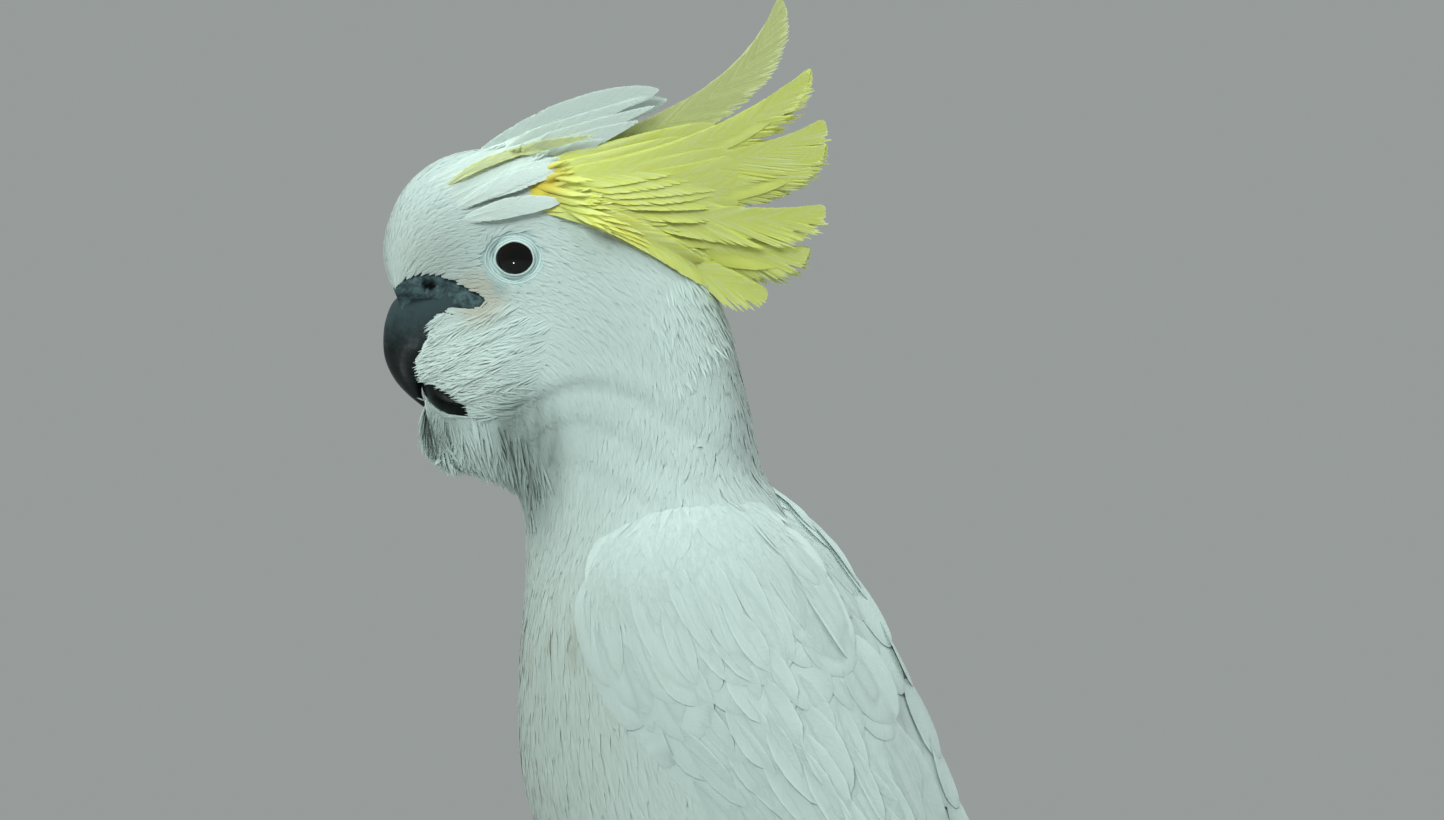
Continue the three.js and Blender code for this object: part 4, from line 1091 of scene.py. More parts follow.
def in_open(spine):
    """False for tufts that would cross the eye's ring, the cere or the bill's corner, or lie under the
    crest or a wing. Under a wing they still grow in from its edge, furthest at its front."""
    p = to_head(spine)
    on_side = np.abs(p[..., 1]) > 6
    clear = ((eye_ratio(p) > 0.96) | ~on_side)[:, 1:].all(1)
    bill = np.maximum(outline_depth(CERE_OUTLINE, p[:, ::2]), outline_depth(GAPE_OUTLINE, p[:, ::2]))
    edges = spline(WING, np.linspace(0.6, 10.4, 30))
    folded = np.concatenate([edges[:, [0, 2]], edges[::-1, [3, 5]]])
    middle, root = spine[:, 2], p[:, 0]
    hidden = (np.abs(middle[:, 1]) > 12) & inside(folded, middle[:, 0], middle[:, 2])
    hidden &= outline_depth(folded, middle) > 9 + 22 * smoothstep(185, 225, middle[:, 2])
    hidden |= (above_crest_line(root) > 6) & (root[:, 0] > -58) & (root[:, 0] < 0)
    return clear & (bill < 0.35).all(1) & ~hidden


def half_body(t_span, side, seed):
    """The coat over one side of the body between two stations."""
    u_span = (0.0, math.pi) if side > 0 else (math.pi, FULL_TURN)
    roots = rows_over(body_point, t_span, u_span, between(1.6, 4.0), between(1.2, 2.4), seed)
    return lay(body_point, 1, roots, between(5.6, 21), between(0.74, 1.7), TUFT, FINE_SECTION, 0.06,
               between(FACE_COAT_DEPTH * 0.8, 0.9), between(0.05, 0.10), seed + 1, body_unwrap, head_lie,
               0.09, 0.25, keep=in_open, camber=0.05)


def loose_plumes(side, seed, t_span, u_span, count, patch, lean, length, half, rise, spread=0.14):
    """Plumes that stand off the coat, where patch allows them.

    Each spine leaves its root the way that lean points, flattened onto the surface, and rises from
    it by rise times its share along, less a third of that share squared.
    """
    rng = np.random.default_rng(seed)
    t, u = rng.uniform(*t_span, count), rng.uniform(*u_span, count)
    u = u if side > 0 else FULL_TURN - u
    if patch:
        chosen = patch(to_head(body_point(t, u)))
        t, u = t[chosen], u[chosen]
    root, _, _, normal = basis(body_point, t, u, 1)
    head = to_head(root)
    way = turned_way(np.broadcast_to(given(lean, head), head.shape))
    way = unit(way - normal * dot(way, normal)[:, None])
    yaw = rng.normal(0, spread, len(t))[:, None]
    way = way * np.cos(yaw) + np.cross(normal, way) * np.sin(yaw)
    size = rng.uniform(0.75, 1.2, len(t))
    long = (length * size)[:, None]
    rise = given(rise, head) * rng.uniform(0.8, 1.15, len(t))
    s, wide = np.array(PLUME).T
    lift = rise[:, None] * (s - 0.33 * s**2) - 0.3 * (1 - s)
    spine = root[:, None] + way[:, None] * (long * s)[..., None] + normal[:, None] * lift[..., None]
    q = to_head(spine)
    bill = np.maximum(outline_depth(CERE_OUTLINE, q), outline_depth(GAPE_OUTLINE, q))
    fringe = rng.uniform(0.2, 1.9, len(t))
    kept = (bill[:, -1] < fringe) & (bill[:, 2] < 0.4) & (bill[:, :2] < -0.2).all(1)
    kept &= (eye_ratio(q) > 1.12).all(1)
    up = np.broadcast_to(normal[:, None], spine.shape)
    width = half * size[:, None] * wide
    return vane_batch(spine[kept], up[kept], width[kept], (long * s)[kept], body_unwrap(t, u)[kept],
                      FINE_SECTION, 0.07, 0.05, 0.0, 1.35, rng)


def on_cheek(p):
    """An oval round the cheek with a wavy edge."""
    edge = 1 + 0.08 * np.sin(0.9 * p[:, 2]) + 0.06 * np.sin(0.7 * p[:, 0] + 2.1)
    return np.hypot((p[:, 0] + 74) / 32, (p[:, 2] - 274.5) / 20.5) < edge


def to_bill(p):
    """Forwards, and further down the higher the plume."""
    return np.stack([-np.ones(len(p)), 0 * p[:, 0], -0.38 - 0.020 * (p[:, 2] - 276)], -1)


def cheek_waves(p):
    """How far the cheek's plumes stand up: in slanting waves that fade towards the neck."""
    waves = np.sin(0.34 * p[:, 0] - 0.62 * p[:, 2] + 1.2 * np.sin(0.25 * p[:, 2]))
    return 0.5 + smoothstep(-48, -66, p[:, 0]) * (0.3 + 1.4 * np.clip(waves, 0, 1))


def by_crest(p):
    return (np.abs(above_crest_line(p) + 2.2) < 3.0) & (p[:, 0] > -60) & (p[:, 0] < -8)


def by_chin(p):
    return (p[:, 0] < -76) & (p[:, 0] > -94) & (p[:, 2] < 256.5)


# Loose plumes: seed, stations, angles, how many are tried, where they grow, the way they lean, their
# length, half width, rise and spread.
LOOSE = [
    (0, (0.1, 6.5), (1.2, 2.8), 8800, on_cheek, to_bill, 8.5, 0.36, cheek_waves, 0.14),
    (2, (0.6, 4.2), (2.7, 3.13), 700, None, (-0.3, 0.0, -1.0), 10.0, 0.6, 3.2, 0.3),
    (4, (3.4, 7.4), (2.3, 3.13), 900, None, (0.12, 0.0, -1.0), 14.0, 0.5, 1.2, 0.14),
    (6, (7.9, 8.9), (0.0, 1.0), 420, None, (0.3, 0.0, -1.0), 12.0, 0.55, 0.7, 0.14),
    (8, (3.0, 9.6), (0.1, 1.9), 9000, by_crest, (1.0, 0.0, 0.05), 9.0, 0.6, 1.7, 0.12),
    (12, (0.9, 3.2), (2.75, 3.13), 190, None, (-0.5, 0.0, -1.0), 12.0, 0.8, 6.0, 0.3),
    (10, (0.2, 3.2), (2.1, 3.13), 2600, by_chin, (-0.45, 0.0, -1.0), 6.5, 0.5, 1.0, 0.2),
]


def make_coat():
    finish = plumage("body_plumage", 34.0, 0.12, shaded=0.12, breast=0.45)
    for number, (name, side) in enumerate(SIDES):
        for part, span in COAT_PARTS.items():
            batch = half_body(span, side, 100 * number + int(span[0] * 7))
            feather_piece(f"{part}_feathers_{name}", [batch], finish)
        batches = [loose_plumes(side, 500 + 20 * number + seed, *row) for seed, *row in LOOSE]
        feather_piece(f"cheek_plumes_{name}", batches, finish)


# ---------- thighs ----------

THIGH_TOP, THIGH_END = np.array([0.0, 27.0, 80.0]), np.array([11.0, 22.5, 22.0])
THIGH_COAT = 1.8  # the skin lies this far under the thigh's surface


def thigh_radius(f):
    """A cone whose radius falls from 24 to 8.5 as f to the power 0.8, with a dome that starts at -0.25."""
    dome = np.sqrt(1 - (1 - np.clip((f + 0.25) / 0.5, 0, 1)) ** 2)
    return (24 - 15.5 * np.clip(f, 0, 1.2) ** 0.8) * dome


def thigh_surface(side):
    """The thigh about its axis, f running from its top to the foot."""
    axis = unit(THIGH_END - THIGH_TOP)
    across = unit(np.cross(axis, [0, 1, 0]))
    other = np.cross(axis, across)

    def point(f, u):
        f, u = np.broadcast_arrays(np.asarray(f, float), np.asarray(u, float))
        radius = thigh_radius(f)
        centre = THIGH_TOP + (THIGH_END - THIGH_TOP) * f[..., None]
        p = centre + (across * np.cos(u)[..., None] + other * np.sin(u)[..., None]) * radius[..., None]
        return p * [1, side, 1]

    return point


def make_thighs():
    finish = plumage("thigh_plumage", 34.0, 0.3)
    for number, (name, side) in enumerate(SIDES):
        surface = thigh_surface(side)
        roots = rows_over(surface, (-0.2, 0.93), (0, FULL_TURN), 3.2, 2.2, 40 + number)
        batch = lay(surface, -side, roots, 11.0, 1.5, TUFT, FINE_SECTION, 0.07, 1.2, 0.3, 50 + number,
                    thigh_unwrap, None, 0.15, 0.2)
        feather_piece(f"thigh_feathers_{name}", [batch], finish)


# ---------- wings ----------


# Bands of coverts: rows and columns, stations, shares across, length, half width, sink, lift.
WING_BANDS = [
    ((4, 7), (-0.1, 1.5), (0.02, 0.98), 22, 8.0, 0.35, 0.05),
    ((5, 7), (1.2, 3.6), (0.02, 0.98), 34, 11.0, 0.45, 0.05),
    ((4, 6), (3.4, 5.2), (0.03, 0.97), 44, 12.5, 0.5, 0.06),
]
MANTLE_BANDS = [
    ((5, 6), (-0.4, 2.0), (-0.98, 0.98), 24.0, 7.0, 0.4, 0.08),
    ((10, 4), (1.8, 8.8), (-0.98, 0.98), 34.0, 7.0, 0.4, 0.08),
]
# Sets of flight feathers, from the first to the last: the wing's face, count, stations and shares of
# the roots, of the tips, half widths, sink at the root with the tips' two depths, and seed.
FLIGHTS = [
    (1.0, 11, ((4.6, 5.6), (0.30, 0.05)), ((11.0, 9.6), (0.75, 0.05)), (6.5, 9.0), (1.0, 1.2, 2.4), 260),
    (1.0, 11, ((4.0, 4.6), (0.94, 0.20)), ((8.9, 8.6), (0.93, 0.16)), (9.0, 9.0), (0.8, 0.2, 1.3), 270),
    (-1.0, 9, ((4.6, 5.4), (0.92, 0.12)), ((10.6, 9.4), (0.9, 0.1)), (8.0, 9.0), (0.4, 0.3, 0.5), 280),
]


def band_roots(counts, s_span, q_span, seed, jitter=0.15):
    """Roots in quincunx over a band: rows down its length, alternate rows set off."""
    rng = np.random.default_rng(seed)
    rows, across = counts
    k, j = np.meshgrid(np.arange(rows), np.arange(across), indexing="ij")
    f, g = (k + 0.5) / rows, (j + 0.5 * (k % 2) + 0.25) / across
    f = f + rng.uniform(-jitter, jitter, f.shape) / rows
    g = g + rng.uniform(-jitter, jitter, g.shape) / across
    return tuple((low + (high - low) * share).ravel() for (low, high), share in ((s_span, f), (q_span, g)))


def coverts(surface, outward, bands, root_seed, seed, unwrap, stray, toss, camber):
    """A batch of broad vanes for each band of a surface."""
    batches = []
    for k, (counts, s_span, q_span, length, half, sink, lift) in enumerate(bands):
        roots = band_roots(counts, s_span, q_span, root_seed + k)
        batches.append(lay(surface, outward, roots, length, half, COVERT, COVERT_SECTION, 0.08, sink, lift,
                           seed + k, unwrap, None, stray, toss, camber=camber, fray=0.05, splay=0.8))
    return batches


def front_tufts(surface, outward, s_span, q_span, root_seed, seed, unwrap):
    """Fine tufts that carry the neck's coat over the front of a surface."""
    roots = rows_over(surface, s_span, q_span, 3.6, 2.4, root_seed)
    return lay(surface, outward, roots, 21.0, 1.9, TUFT, FINE_SECTION, 0.06, 0.2, 0.25, seed, unwrap,
               None, 0.10, 0.2, camber=0.03)


def long_shape(rows):
    f = np.linspace(0, 1, rows)
    return np.stack([f, np.interp(f, *np.array(FLIGHT).T)], -1)


def flight_set(side, face, count, start, end, half, height, seed):
    """Long vanes fanned over the wing: feather k of the set runs between mixes of the first and last
    feather's start and end, each lying a little under the one above it."""
    surface = wing_surface(side, face)
    f = np.linspace(0, 1, count)
    mixed = lambda pair: pair[0] + (pair[1] - pair[0]) * f
    a, b = mixed(start[0]), mixed(start[1])
    da, db = mixed(end[0]) - a, mixed(end[1]) - b
    length = np.linalg.norm(surface(a + da, b + db) - surface(a, b), axis=-1)
    sink, lift = height[0] + 0 * f, -mixed(height[1:])
    return vanes(surface, -side * face, (a, b), (da, db), length, mixed(half), long_shape(41),
                 BROAD_SECTION, 0.35, sink, lift, np.random.default_rng(seed), wing_unwrap,
                 camber=0.10, fray=0.05, splay=0.75)


def wing_arm(side):
    """The wing's fleshy part: a closed loft from the outer face round to the inner, at half and 0.6 of
    the wing's thickness from its middle."""
    s = np.linspace(0.1, WING_ARM_END, 40)[:, None]
    q = np.concatenate([np.linspace(0.06, 0.94, 20), np.linspace(0.94, 0.06, 20)])[None, :]
    on_outside = (np.arange(40) < 20)[None, :, None]
    return np.where(on_outside, wing_surface(side, 0.5)(s, q), wing_surface(side, -0.6)(s, q))


def make_wings():
    covert_finish = plumage("covert_plumage", breast=0.1)
    finish = plumage("wing_plumage", under_tint=(0.80, 0.80, 0.68))
    for number, (name, side) in enumerate(SIDES):
        surface = wing_surface(side)
        batches = coverts(surface, -side, WING_BANDS, 200 + 10 * number, 230 + 10 * number, wing_unwrap,
                          0.10, 0.14, 0.035)
        batches.append(front_tufts(surface, -side, (-0.9, 1.5), (0.02, 0.98), 215 + number, 225 + number,
                                   wing_unwrap))
        make_object(f"wing_arm_{name}", wing_arm(side), down(f"wing_down_{name}"),
                    (f"wing_coverts_{name}",))
        feather_piece(f"wing_coverts_vanes_{name}", batches, covert_finish)
        flights = [flight_set(side, *row) for row in FLIGHTS]
        feather_piece(f"wing_flight_vanes_{name}", flights, finish, (f"wing_flight_{name}",))


# ---------- back and tail ----------


def back_surface(s, v):
    """The back between the wings: v runs from the left wing's upper edge (-1) to the right's (1), with
    a ridge along the right wing, and both edges brought down to the wings."""
    s, v = np.broadcast_arrays(np.asarray(s, float), np.asarray(v, float))
    left, right = wing_surface(-1.0)(s, 0.92 + 0 * s), wing_surface(1.0)(s, 0.98 + 0 * s)
    share = (v[..., None] + 1) / 2
    edges = 1.6 * smoothstep(-0.4, -1.0, v) + 0.3 * smoothstep(0.8, 1.0, v)
    rise = 2.6 * bump(v, 0.68, 0.38) - 0.4 * (1 - v**2) - edges
    return left * (1 - share) + right * share + np.array([0.8, 0.0, 0.6]) * rise[..., None]


def make_mantle():
    """Broad feathers down the back that bridge the trough between the wings."""
    batches = coverts(back_surface, 1, MANTLE_BANDS, 290, 295, back_unwrap, 0.08, 0.12, 0.04)
    batches.append(front_tufts(back_surface, 1, (-1.2, 1.6), (-0.98, 0.98), 298, 299, back_unwrap))
    feather_piece("mantle_vanes", batches, plumage("mantle_plumage", relief=0.2))


def make_tail():
    """Twelve tail feathers: the middle pair on top, and each pair outwards a little lower."""
    finish = plumage("tail_plumage", under_tint=(0.82, 0.78, 0.50))
    rng = np.random.default_rng(300)
    k = np.arange(TAIL_FEATHERS)
    middle = (TAIL_FEATHERS - 1) / 2
    q = (k - middle) / middle
    order = np.abs(k - middle) - 0.5 + 0.4 * (k < middle)
    alike = np.ones(TAIL_FEATHERS)
    reach = 0.985 - 0.02 * np.abs(q) + rng.uniform(-0.006, 0.006, TAIL_FEATHERS)
    batch = vanes(tail_surface, 1, (0.01 * alike, q * 0.55), (reach, q * 0.62 - q * 0.55), 205.0 * alike,
                  11.0 * alike, long_shape(61), BROAD_SECTION, 0.4, 0.4 + 0.45 * order, -0.42 * order, rng,
                  tail_unwrap, camber=0.06, fray=0.035, splay=0.75)
    feather_piece("tail_vanes", [batch], finish, ("tail",))


# ---------- crest ----------

# Each crest feather: four control points (x, height) of its shaft, half width, layer from the left.
CREST = {
    "crest_white_left": ([(-87, 341), (-66, 358), (-38, 369), (-12.5, 372.5)], 5.2, -1.5, "white"),
    "crest_white_right": ([(-84, 339), (-62, 354.5), (-35, 364.5), (-9.5, 369)], 5.2, 0.5, "white"),
    "crest_yellow_1": ([(-74, 338), (-30, 351), (25, 365), (32, 407)], 6.5, -0.5, "dull"),
    "crest_yellow_2": ([(-70, 337), (-28, 345), (24, 352), (43, 380.5)], 6.25, 1.5, "lemon"),
    "crest_yellow_3": ([(-66, 335), (-24, 342), (28, 341), (47.8, 361)], 6.5, -2.5, "lemon"),
    "crest_yellow_4": ([(-62, 333), (-20, 338), (26, 333), (48.8, 353)], 6.5, 2.5, "lemon"),
    "crest_yellow_5": ([(-57, 331), (-18, 330), (24, 318), (48, 329.5)], 7.0, -3.5, "lemon"),
    "crest_yellow_6": ([(-53, 329), (-16, 324), (18, 306), (43, 314.5)], 7.25, 3.5, "lemon"),
    "crest_yellow_7": ([(-50, 328), (-20, 322), (8, 300), (27, 298)], 6.5, -4.5, "lemon"),
}
CREST_LAYER = 2.6
OPENNESS = {"white": 0.1, "dull": 0.2, "lemon": 0.7}  # how far each kind's barbs part

# Crest feathers laid over the crown's sides: shaft points (x, height), half width, and their kind.
CROWN_PLUMES = [
    ([(-103, 334), (-88, 344), (-66, 352), (-17, 370)], 4.2, "white"),
    ([(-101, 332), (-84, 342.5), (-60, 351), (-14, 366.5)], 4.6, "white"),
    ([(-99, 330), (-80, 340.5), (-54, 349.5), (-20, 361)], 4.8, "white"),
    ([(-96, 328), (-78, 338.5), (-56, 346.5), (-33, 354)], 4.8, "white"),
    ([(-94, 326.5), (-76, 336), (-58, 342.5), (-40, 348.5)], 4.8, "white"),
    ([(-92, 325), (-77, 334.5), (-65, 341), (-49, 344)], 3.4, "white"),
    ([(-89, 323), (-74, 328), (-62, 331), (-47, 331.5)], 3.9, "white"),
    ([(-92, 334.5), (-84, 343), (-68, 351), (-36, 355.5)], 2.5, "olive"),
]
YELLOW_PLUMES = np.array([
    [(-57, 344), (-40, 347), (-12, 353), (8, 359.5)], [(-64, 338.5), (-30, 341), (16, 350), (42.5, 379)],
    [(-63, 335.5), (-24, 338), (24, 340), (47, 360)], [(-60, 333), (-20, 335), (22, 331), (48, 352)],
    [(-57, 332), (-16, 330), (20, 317.5), (47, 329)], [(-55, 331.5), (-16, 327), (14, 306), (42.5, 314)],
    [(-53, 331), (-20, 325), (4, 304), (27, 298.5)], [(-52, 331.5), (-24, 325.5), (-2, 309), (20, 298)],
], float)
YELLOW_HALF = (5.5, 6.0, 6.0, 6.0, 6.5, 6.5, 5.5, 4.5)
BETWEEN_REACH = 0.66  # the plumes between two rows end at this share of their length

# How half widths go from root to tip.
CROWN_OUTLINE = np.array([
    (0, 0.35), (0.05, 0.8), (0.3, 0.95), (0.6, 1.0), (0.76, 0.92), (0.86, 0.76), (0.93, 0.55), (0.97, 0.32),
    (1, 0.04),
]).T
LOBE_OUTLINE = np.array([
    (0, 0.1), (0.12, 0.25), (0.3, 0.7), (0.5, 1.0), (0.72, 0.9), (0.87, 0.6), (0.96, 0.28), (1, 0.04),
]).T
CREST_OUTLINE = np.array([
    (0, 0.18), (0.06, 0.35), (0.25, 0.75), (0.5, 1.0), (0.7, 0.96), (0.82, 0.82), (0.9, 0.62), (0.96, 0.36),
    (1, 0.04),
]).T

LOBE = {"outline": LOBE_OUTLINE, "settle": 0.4, "flush": 1.0, "openness": 0.1, "spacing": 1.3}
BARB_STEPS = np.array([0, 0.35, 0.7, 0.9, 1.0])
BARB_HALF = 0.55 * np.array([0.9, 1.0, 1.0, 0.8, 0.2])
BARB_ANGLE = 0.40  # radians from the shaft, at the root


def crest_spine(control, layer, f):
    """A cubic Bezier shaft in the head's middle plane, its layer spreading sideways along it."""
    c = np.array(control, float)
    w = np.stack([(1 - f) ** 3, 3 * f * (1 - f) ** 2, 3 * f * f * (1 - f), f**3], -1)
    x, z = (w @ c).T
    y = layer * CREST_LAYER * (0.55 + 0.45 * smoothstep(-60, 20, x))
    return np.stack([x, y, z], -1)


def undraped(points, share):
    return points


def vane_sides(side):
    """How wide a feather's two vanes are, as shares: the one above the shaft is the narrower."""
    return (0.8, 1.15) if side < 0 else (1.15, 0.8)


def barb_lengths(at, angle, half, outline, length, loose):
    """Lengths with which barbs end on the outline, found by closing in on where each barb's end lies."""
    long = half * np.interp(at, *outline) / np.sin(angle)
    for _ in range(12):
        ends = at + long * np.cos(angle) / length
        long = (long + half * np.interp(ends, *outline) * (1 + 0.3 * loose) / np.sin(angle)) / 2
    return long


def crest_plume(shaft, face, half, root, rng, side, spacing=1.05, openness=0.5, drape=undraped,
                outline=CREST_OUTLINE):
    """A feather of single barbs on a thin vane.

    shaft(f) gives head points from root to tip and face(f) the vane's normal. Each barb leaves the
    shaft at about 20 degrees and ends on the feather's outline. On the wider vane the barbs part in
    clumps, between a third of the way along and the tip.
    """
    sides = vane_sides(side)
    f = np.linspace(0, 1, 64)
    spine, up = drape(shaft(f), f), face(f)
    ahead = unit(np.gradient(spine, axis=0))
    across = np.cross(up, ahead)
    across = unit(drape(spine + across * 1.5, f) - drape(spine - across * 1.5, f))
    up = np.cross(ahead, across)
    width = half * np.interp(f, *outline)
    middle = spine + across * (width * (sides[0] - sides[1]) / 2)[:, None]
    length = np.linalg.norm(np.diff(spine, axis=0), axis=-1).sum()
    share = 0.5 * sum(sides) * (0.92 - 0.16 * openness)
    along = length * f[None]
    batches = [
        vane_batch(drape(middle, f)[None], up[None], share * width[None], along, root, BROAD_SECTION,
                   0.16, 0.0, 0.03, 0.6, rng),
        vane_batch((spine + up * 0.2)[None], up[None], 0.35 * (1 - 0.8 * f[None]), along, root,
                   FINE_SECTION, 0.2, 0.0, 0.0, 0.0, rng),
    ]
    s = BARB_STEPS
    count = int(length * 0.95 / spacing)
    for sign, reach in ((1, sides[0]), (-1, sides[1])):
        at = np.clip(np.linspace(0.05, 0.985, count) + rng.uniform(-0.3, 0.3, count) / count, 0, 0.99)
        base, way, out, normal = (
            np.stack([np.interp(at, f, v[:, k]) for k in range(3)], -1) for v in (spine, ahead, across, up)
        )
        clump = np.sin(at * length / 2.3 + rng.uniform(0, 6)) * np.sin(at * length / 0.9)
        loose = openness * (reach == max(sides)) * smoothstep(0.35, 0.6, at) * smoothstep(0.93, 0.8, at)
        angle = BARB_ANGLE - 0.08 * at + clump * 0.12 * loose + rng.normal(0, 0.012, count)
        long = barb_lengths(at, angle, half * reach, outline, length, loose)
        long = (long * (1 + rng.uniform(-0.12, 0.1, count) * (0.12 + loose)))[:, None]
        run = way * np.cos(angle)[:, None] + sign * out * np.sin(angle)[:, None]
        path = base[:, None] + run[:, None] * (long * s)[..., None]
        path = path + way[:, None] * (0.06 * long * s**2)[..., None]
        rise = 0.2 + 0.03 * rng.random((count, 1)) - 0.02 * (loose[:, None] * long) * s**2
        path = drape(path, at[:, None] + 0.6 * long * s / length) + normal[:, None] * rise[..., None]
        thin = BARB_HALF * (1 - 0.45 * loose[:, None])
        batches.append(vane_batch(path, np.broadcast_to(normal[:, None], path.shape), thin, long * s,
                                  np.repeat(root, count, 0), FINE_SECTION, 0.06, 0, 0, 1.3, rng))
    for batch in batches:
        batch.points = from_head(batch.points)
    return batches


def crown_drape(side):
    """Keeps points outside the head's side, or brings them flush with it: its half width is read from a
    grid of the widest surface points by x and height, a millimetre apart."""
    u = np.linspace(0.0, 2.0, 900) if side > 0 else FULL_TURN - np.linspace(0.0, 2.0, 900)
    cloud = to_head(body_point(np.linspace(2.0, 12, 900)[:, None], u[None, :])).reshape(-1, 3)
    corner, size = np.array([-110.0, 270.0]), (170, 90)
    cell = np.round(cloud[:, [0, 2]] - corner).astype(int)
    on = ((cell >= 0) & (cell < size)).all(1)
    width = np.zeros(size)
    np.maximum.at(width, tuple(cell[on].T), np.abs(cloud[on, 1]))

    def drape(points, share, settle, flush):
        """settle is the share by which a feather has come out of the coat; flush is 1 to lie on it."""
        clear = 2.4 * smoothstep(0.0, settle, share) - 1.7
        at = np.clip(points[..., [0, 2]] - corner, 0, np.array(size) - 1.001)
        i, j = np.moveaxis(np.floor(at).astype(int), -1, 0)
        fi, fj = at[..., 0] - i, at[..., 1] - j
        low = width[i, j] * (1 - fj) + width[i, j + 1] * fj
        high = width[i + 1, j] * (1 - fj) + width[i + 1, j + 1] * fj
        reach = low * (1 - fi) + high * fi
        out = points.copy()
        lift = np.where(reach > 0, np.maximum(reach + clear, 0), 0)
        beyond = np.maximum(side * points[..., 1] - lift, 0)
        out[..., 1] = side * (lift + beyond * (1 - flush * smoothstep(3, 9, reach)))
        return out

    return drape


def crown_plume(control, half, side, above, drape, rng, reach=1.0, outline=CROWN_OUTLINE, settle=0.14,
                flush=0.0, **more):
    """A crest feather that starts on the crown's side and closes in to the crest's own plane."""

    def shaft(f):
        p = crest_spine(control, 0.0, f * reach)
        start = drape(p[:1], np.zeros(1), settle, 0)[0, 1]
        inward = smoothstep(0, 0.75, f * reach)
        p[:, 1] = start * (1 - inward) + side * 5.5 * inward
        return p

    def over(points, share):
        points = drape(points, share, settle, flush)
        points[..., 1] += side * above * smoothstep(0.0, 0.3, share)
        return points

    def face(f):
        tilt = 0.55 * (1 - smoothstep(0, 0.6, f * reach))
        return unit(np.stack([-0.1 * tilt, side * np.cos(tilt), np.sin(tilt)], -1))

    root = np.array([[0.5 + 0.05 * side * (above + 1), 0.05]])
    return crest_plume(shaft, face, half, root, rng, side, drape=over, outline=outline, **more)


def make_crest():
    rng = np.random.default_rng(400)
    finishes = {
        # the white lobes are painted lighter than the other white feathers
        "white": plumage("crest_white_plumage", relief=0.25, shaded=0.0, white=CREST_WHITE_PAINTED_LIGHTER),
        "lemon": crest_yellow("crest_lemon"),
        "olive": crest_yellow("crest_olive", PALE_OLIVE, 0.5, OLIVE),
        "dull": crest_yellow("crest_dull_lemon", DULL_LEMON, 0.5),
    }
    for name, (control, half, layer, kind) in CREST.items():
        side = math.copysign(1.0, layer)
        shaft = lambda f: crest_spine(control, layer, f)
        sideways = lambda f: np.tile([0.0, side, 0.0], (len(f), 1))
        root = np.array([[0.5 + 0.09 * layer, 0.08]])
        batches = crest_plume(shaft, sideways, half, root, rng, side, openness=OPENNESS[kind])
        feather_piece(f"{name}_plume", batches, finishes[kind], (name,))
    for name, side in SIDES:
        drape = crown_drape(side)
        for kind, extra in (("olive", 1.2), ("white", 0)):
            batches = []
            for layer, (control, half, colour) in enumerate(CROWN_PLUMES):
                if colour == kind:
                    above = 0.2 + 0.2 * layer + extra
                    batches += crown_plume(control, half, side, above, drape, rng, **LOBE)
            feather_piece(f"crown_plumes_{kind}_{name}", batches, finishes[kind])
        batches = []
        for k in range(2 * len(YELLOW_PLUMES) - 1):  # every row, and one between it and the next
            first, second = k // 2, (k + 1) // 2
            control = (YELLOW_PLUMES[first] + YELLOW_PLUMES[second]) / 2
            half = (YELLOW_HALF[first] + YELLOW_HALF[second]) / 2
            reach, openness = (1.0, 0.5) if first == second else (BETWEEN_REACH, 0.0)
            batches += crown_plume(control, half, side, 0.07 * k, drape, rng, reach, openness=openness)
        feather_piece(f"crown_plumes_yellow_{name}", batches, finishes["lemon"])


# ---------- feet ----------

FOOT_Y = 23.0
BRANCH_RADIUS = 16.0
TOES = [  # number, way round the branch, its wrap, how far it strays, root radius, claw's wrap
    (1, -1, 0.85, -7.5, 3.3, 0.5), (2, 1, 1.25, -6.5, 3.6, 0.58), (3, 1, 1.7, 6.5, 3.9, 0.62),
    (4, -1, 1.45, 7.5, 3.6, 0.58),
]
TOE_START, TOE_TAPER = 0.12, 0.68
SHANK = np.array([(14.5, 22.5, 34), (13, 22.5, 27.5), (7.5, 22.7, 15.5), (3.0, 22.9, 8.0), (1.5, 23, 3.4)])
SHANK_RADIUS = ([0, 0.5, 0.85, 1], [4.2, 4.1, 4.9, 4.4])
CLAW_TIP = 0.3


def toe_path(toe, side, start, end, reach):
    """A path over the branch, from one angle off its top to another, at a reach from its axis. Toes
    start side by side and stray apart."""
    _, way, wrap, stray, radius, _ = toe
    angle = start + (end - start) * np.linspace(0, 1, len(reach))
    beside = math.copysign(radius * 1.07 + 0.15, stray)
    y = side * (FOOT_Y + beside + (stray - beside) * angle / wrap)
    return np.stack([-way * reach * np.sin(angle), y, reach * np.cos(angle) - BRANCH_RADIUS], -1)


def shank_scutes(f, u):
    rings = np.abs(np.sin(f * 34 + 0.8 * np.sign(np.cos(u)))) ** 0.6
    return 0.28 * rings + 0.12 * np.sin(5 * u)


def toe_scutes(f, u):
    return 0.22 * np.abs(np.sin(f * 44)) ** 0.5 * smoothstep(-0.3, 0.5, np.sin(u)) - 0.1


def toe_shell(toe, side):
    """A padded toe with a rounded end."""
    f = np.linspace(0, 1, 70)
    size = toe[4] * (1 + (TOE_TAPER - 1) * f)
    pads = 1 + 0.07 * np.cos(6 * math.pi * f)
    rounded = np.sqrt(np.clip(1 - ((f - 0.9) / 0.12).clip(0) ** 2, 0.05, 1))
    path = toe_path(toe, side, TOE_START, toe[2], BRANCH_RADIUS + size * 1.07 + 0.3)
    return tube(path, size * pads * rounded, 24, toe_scutes)


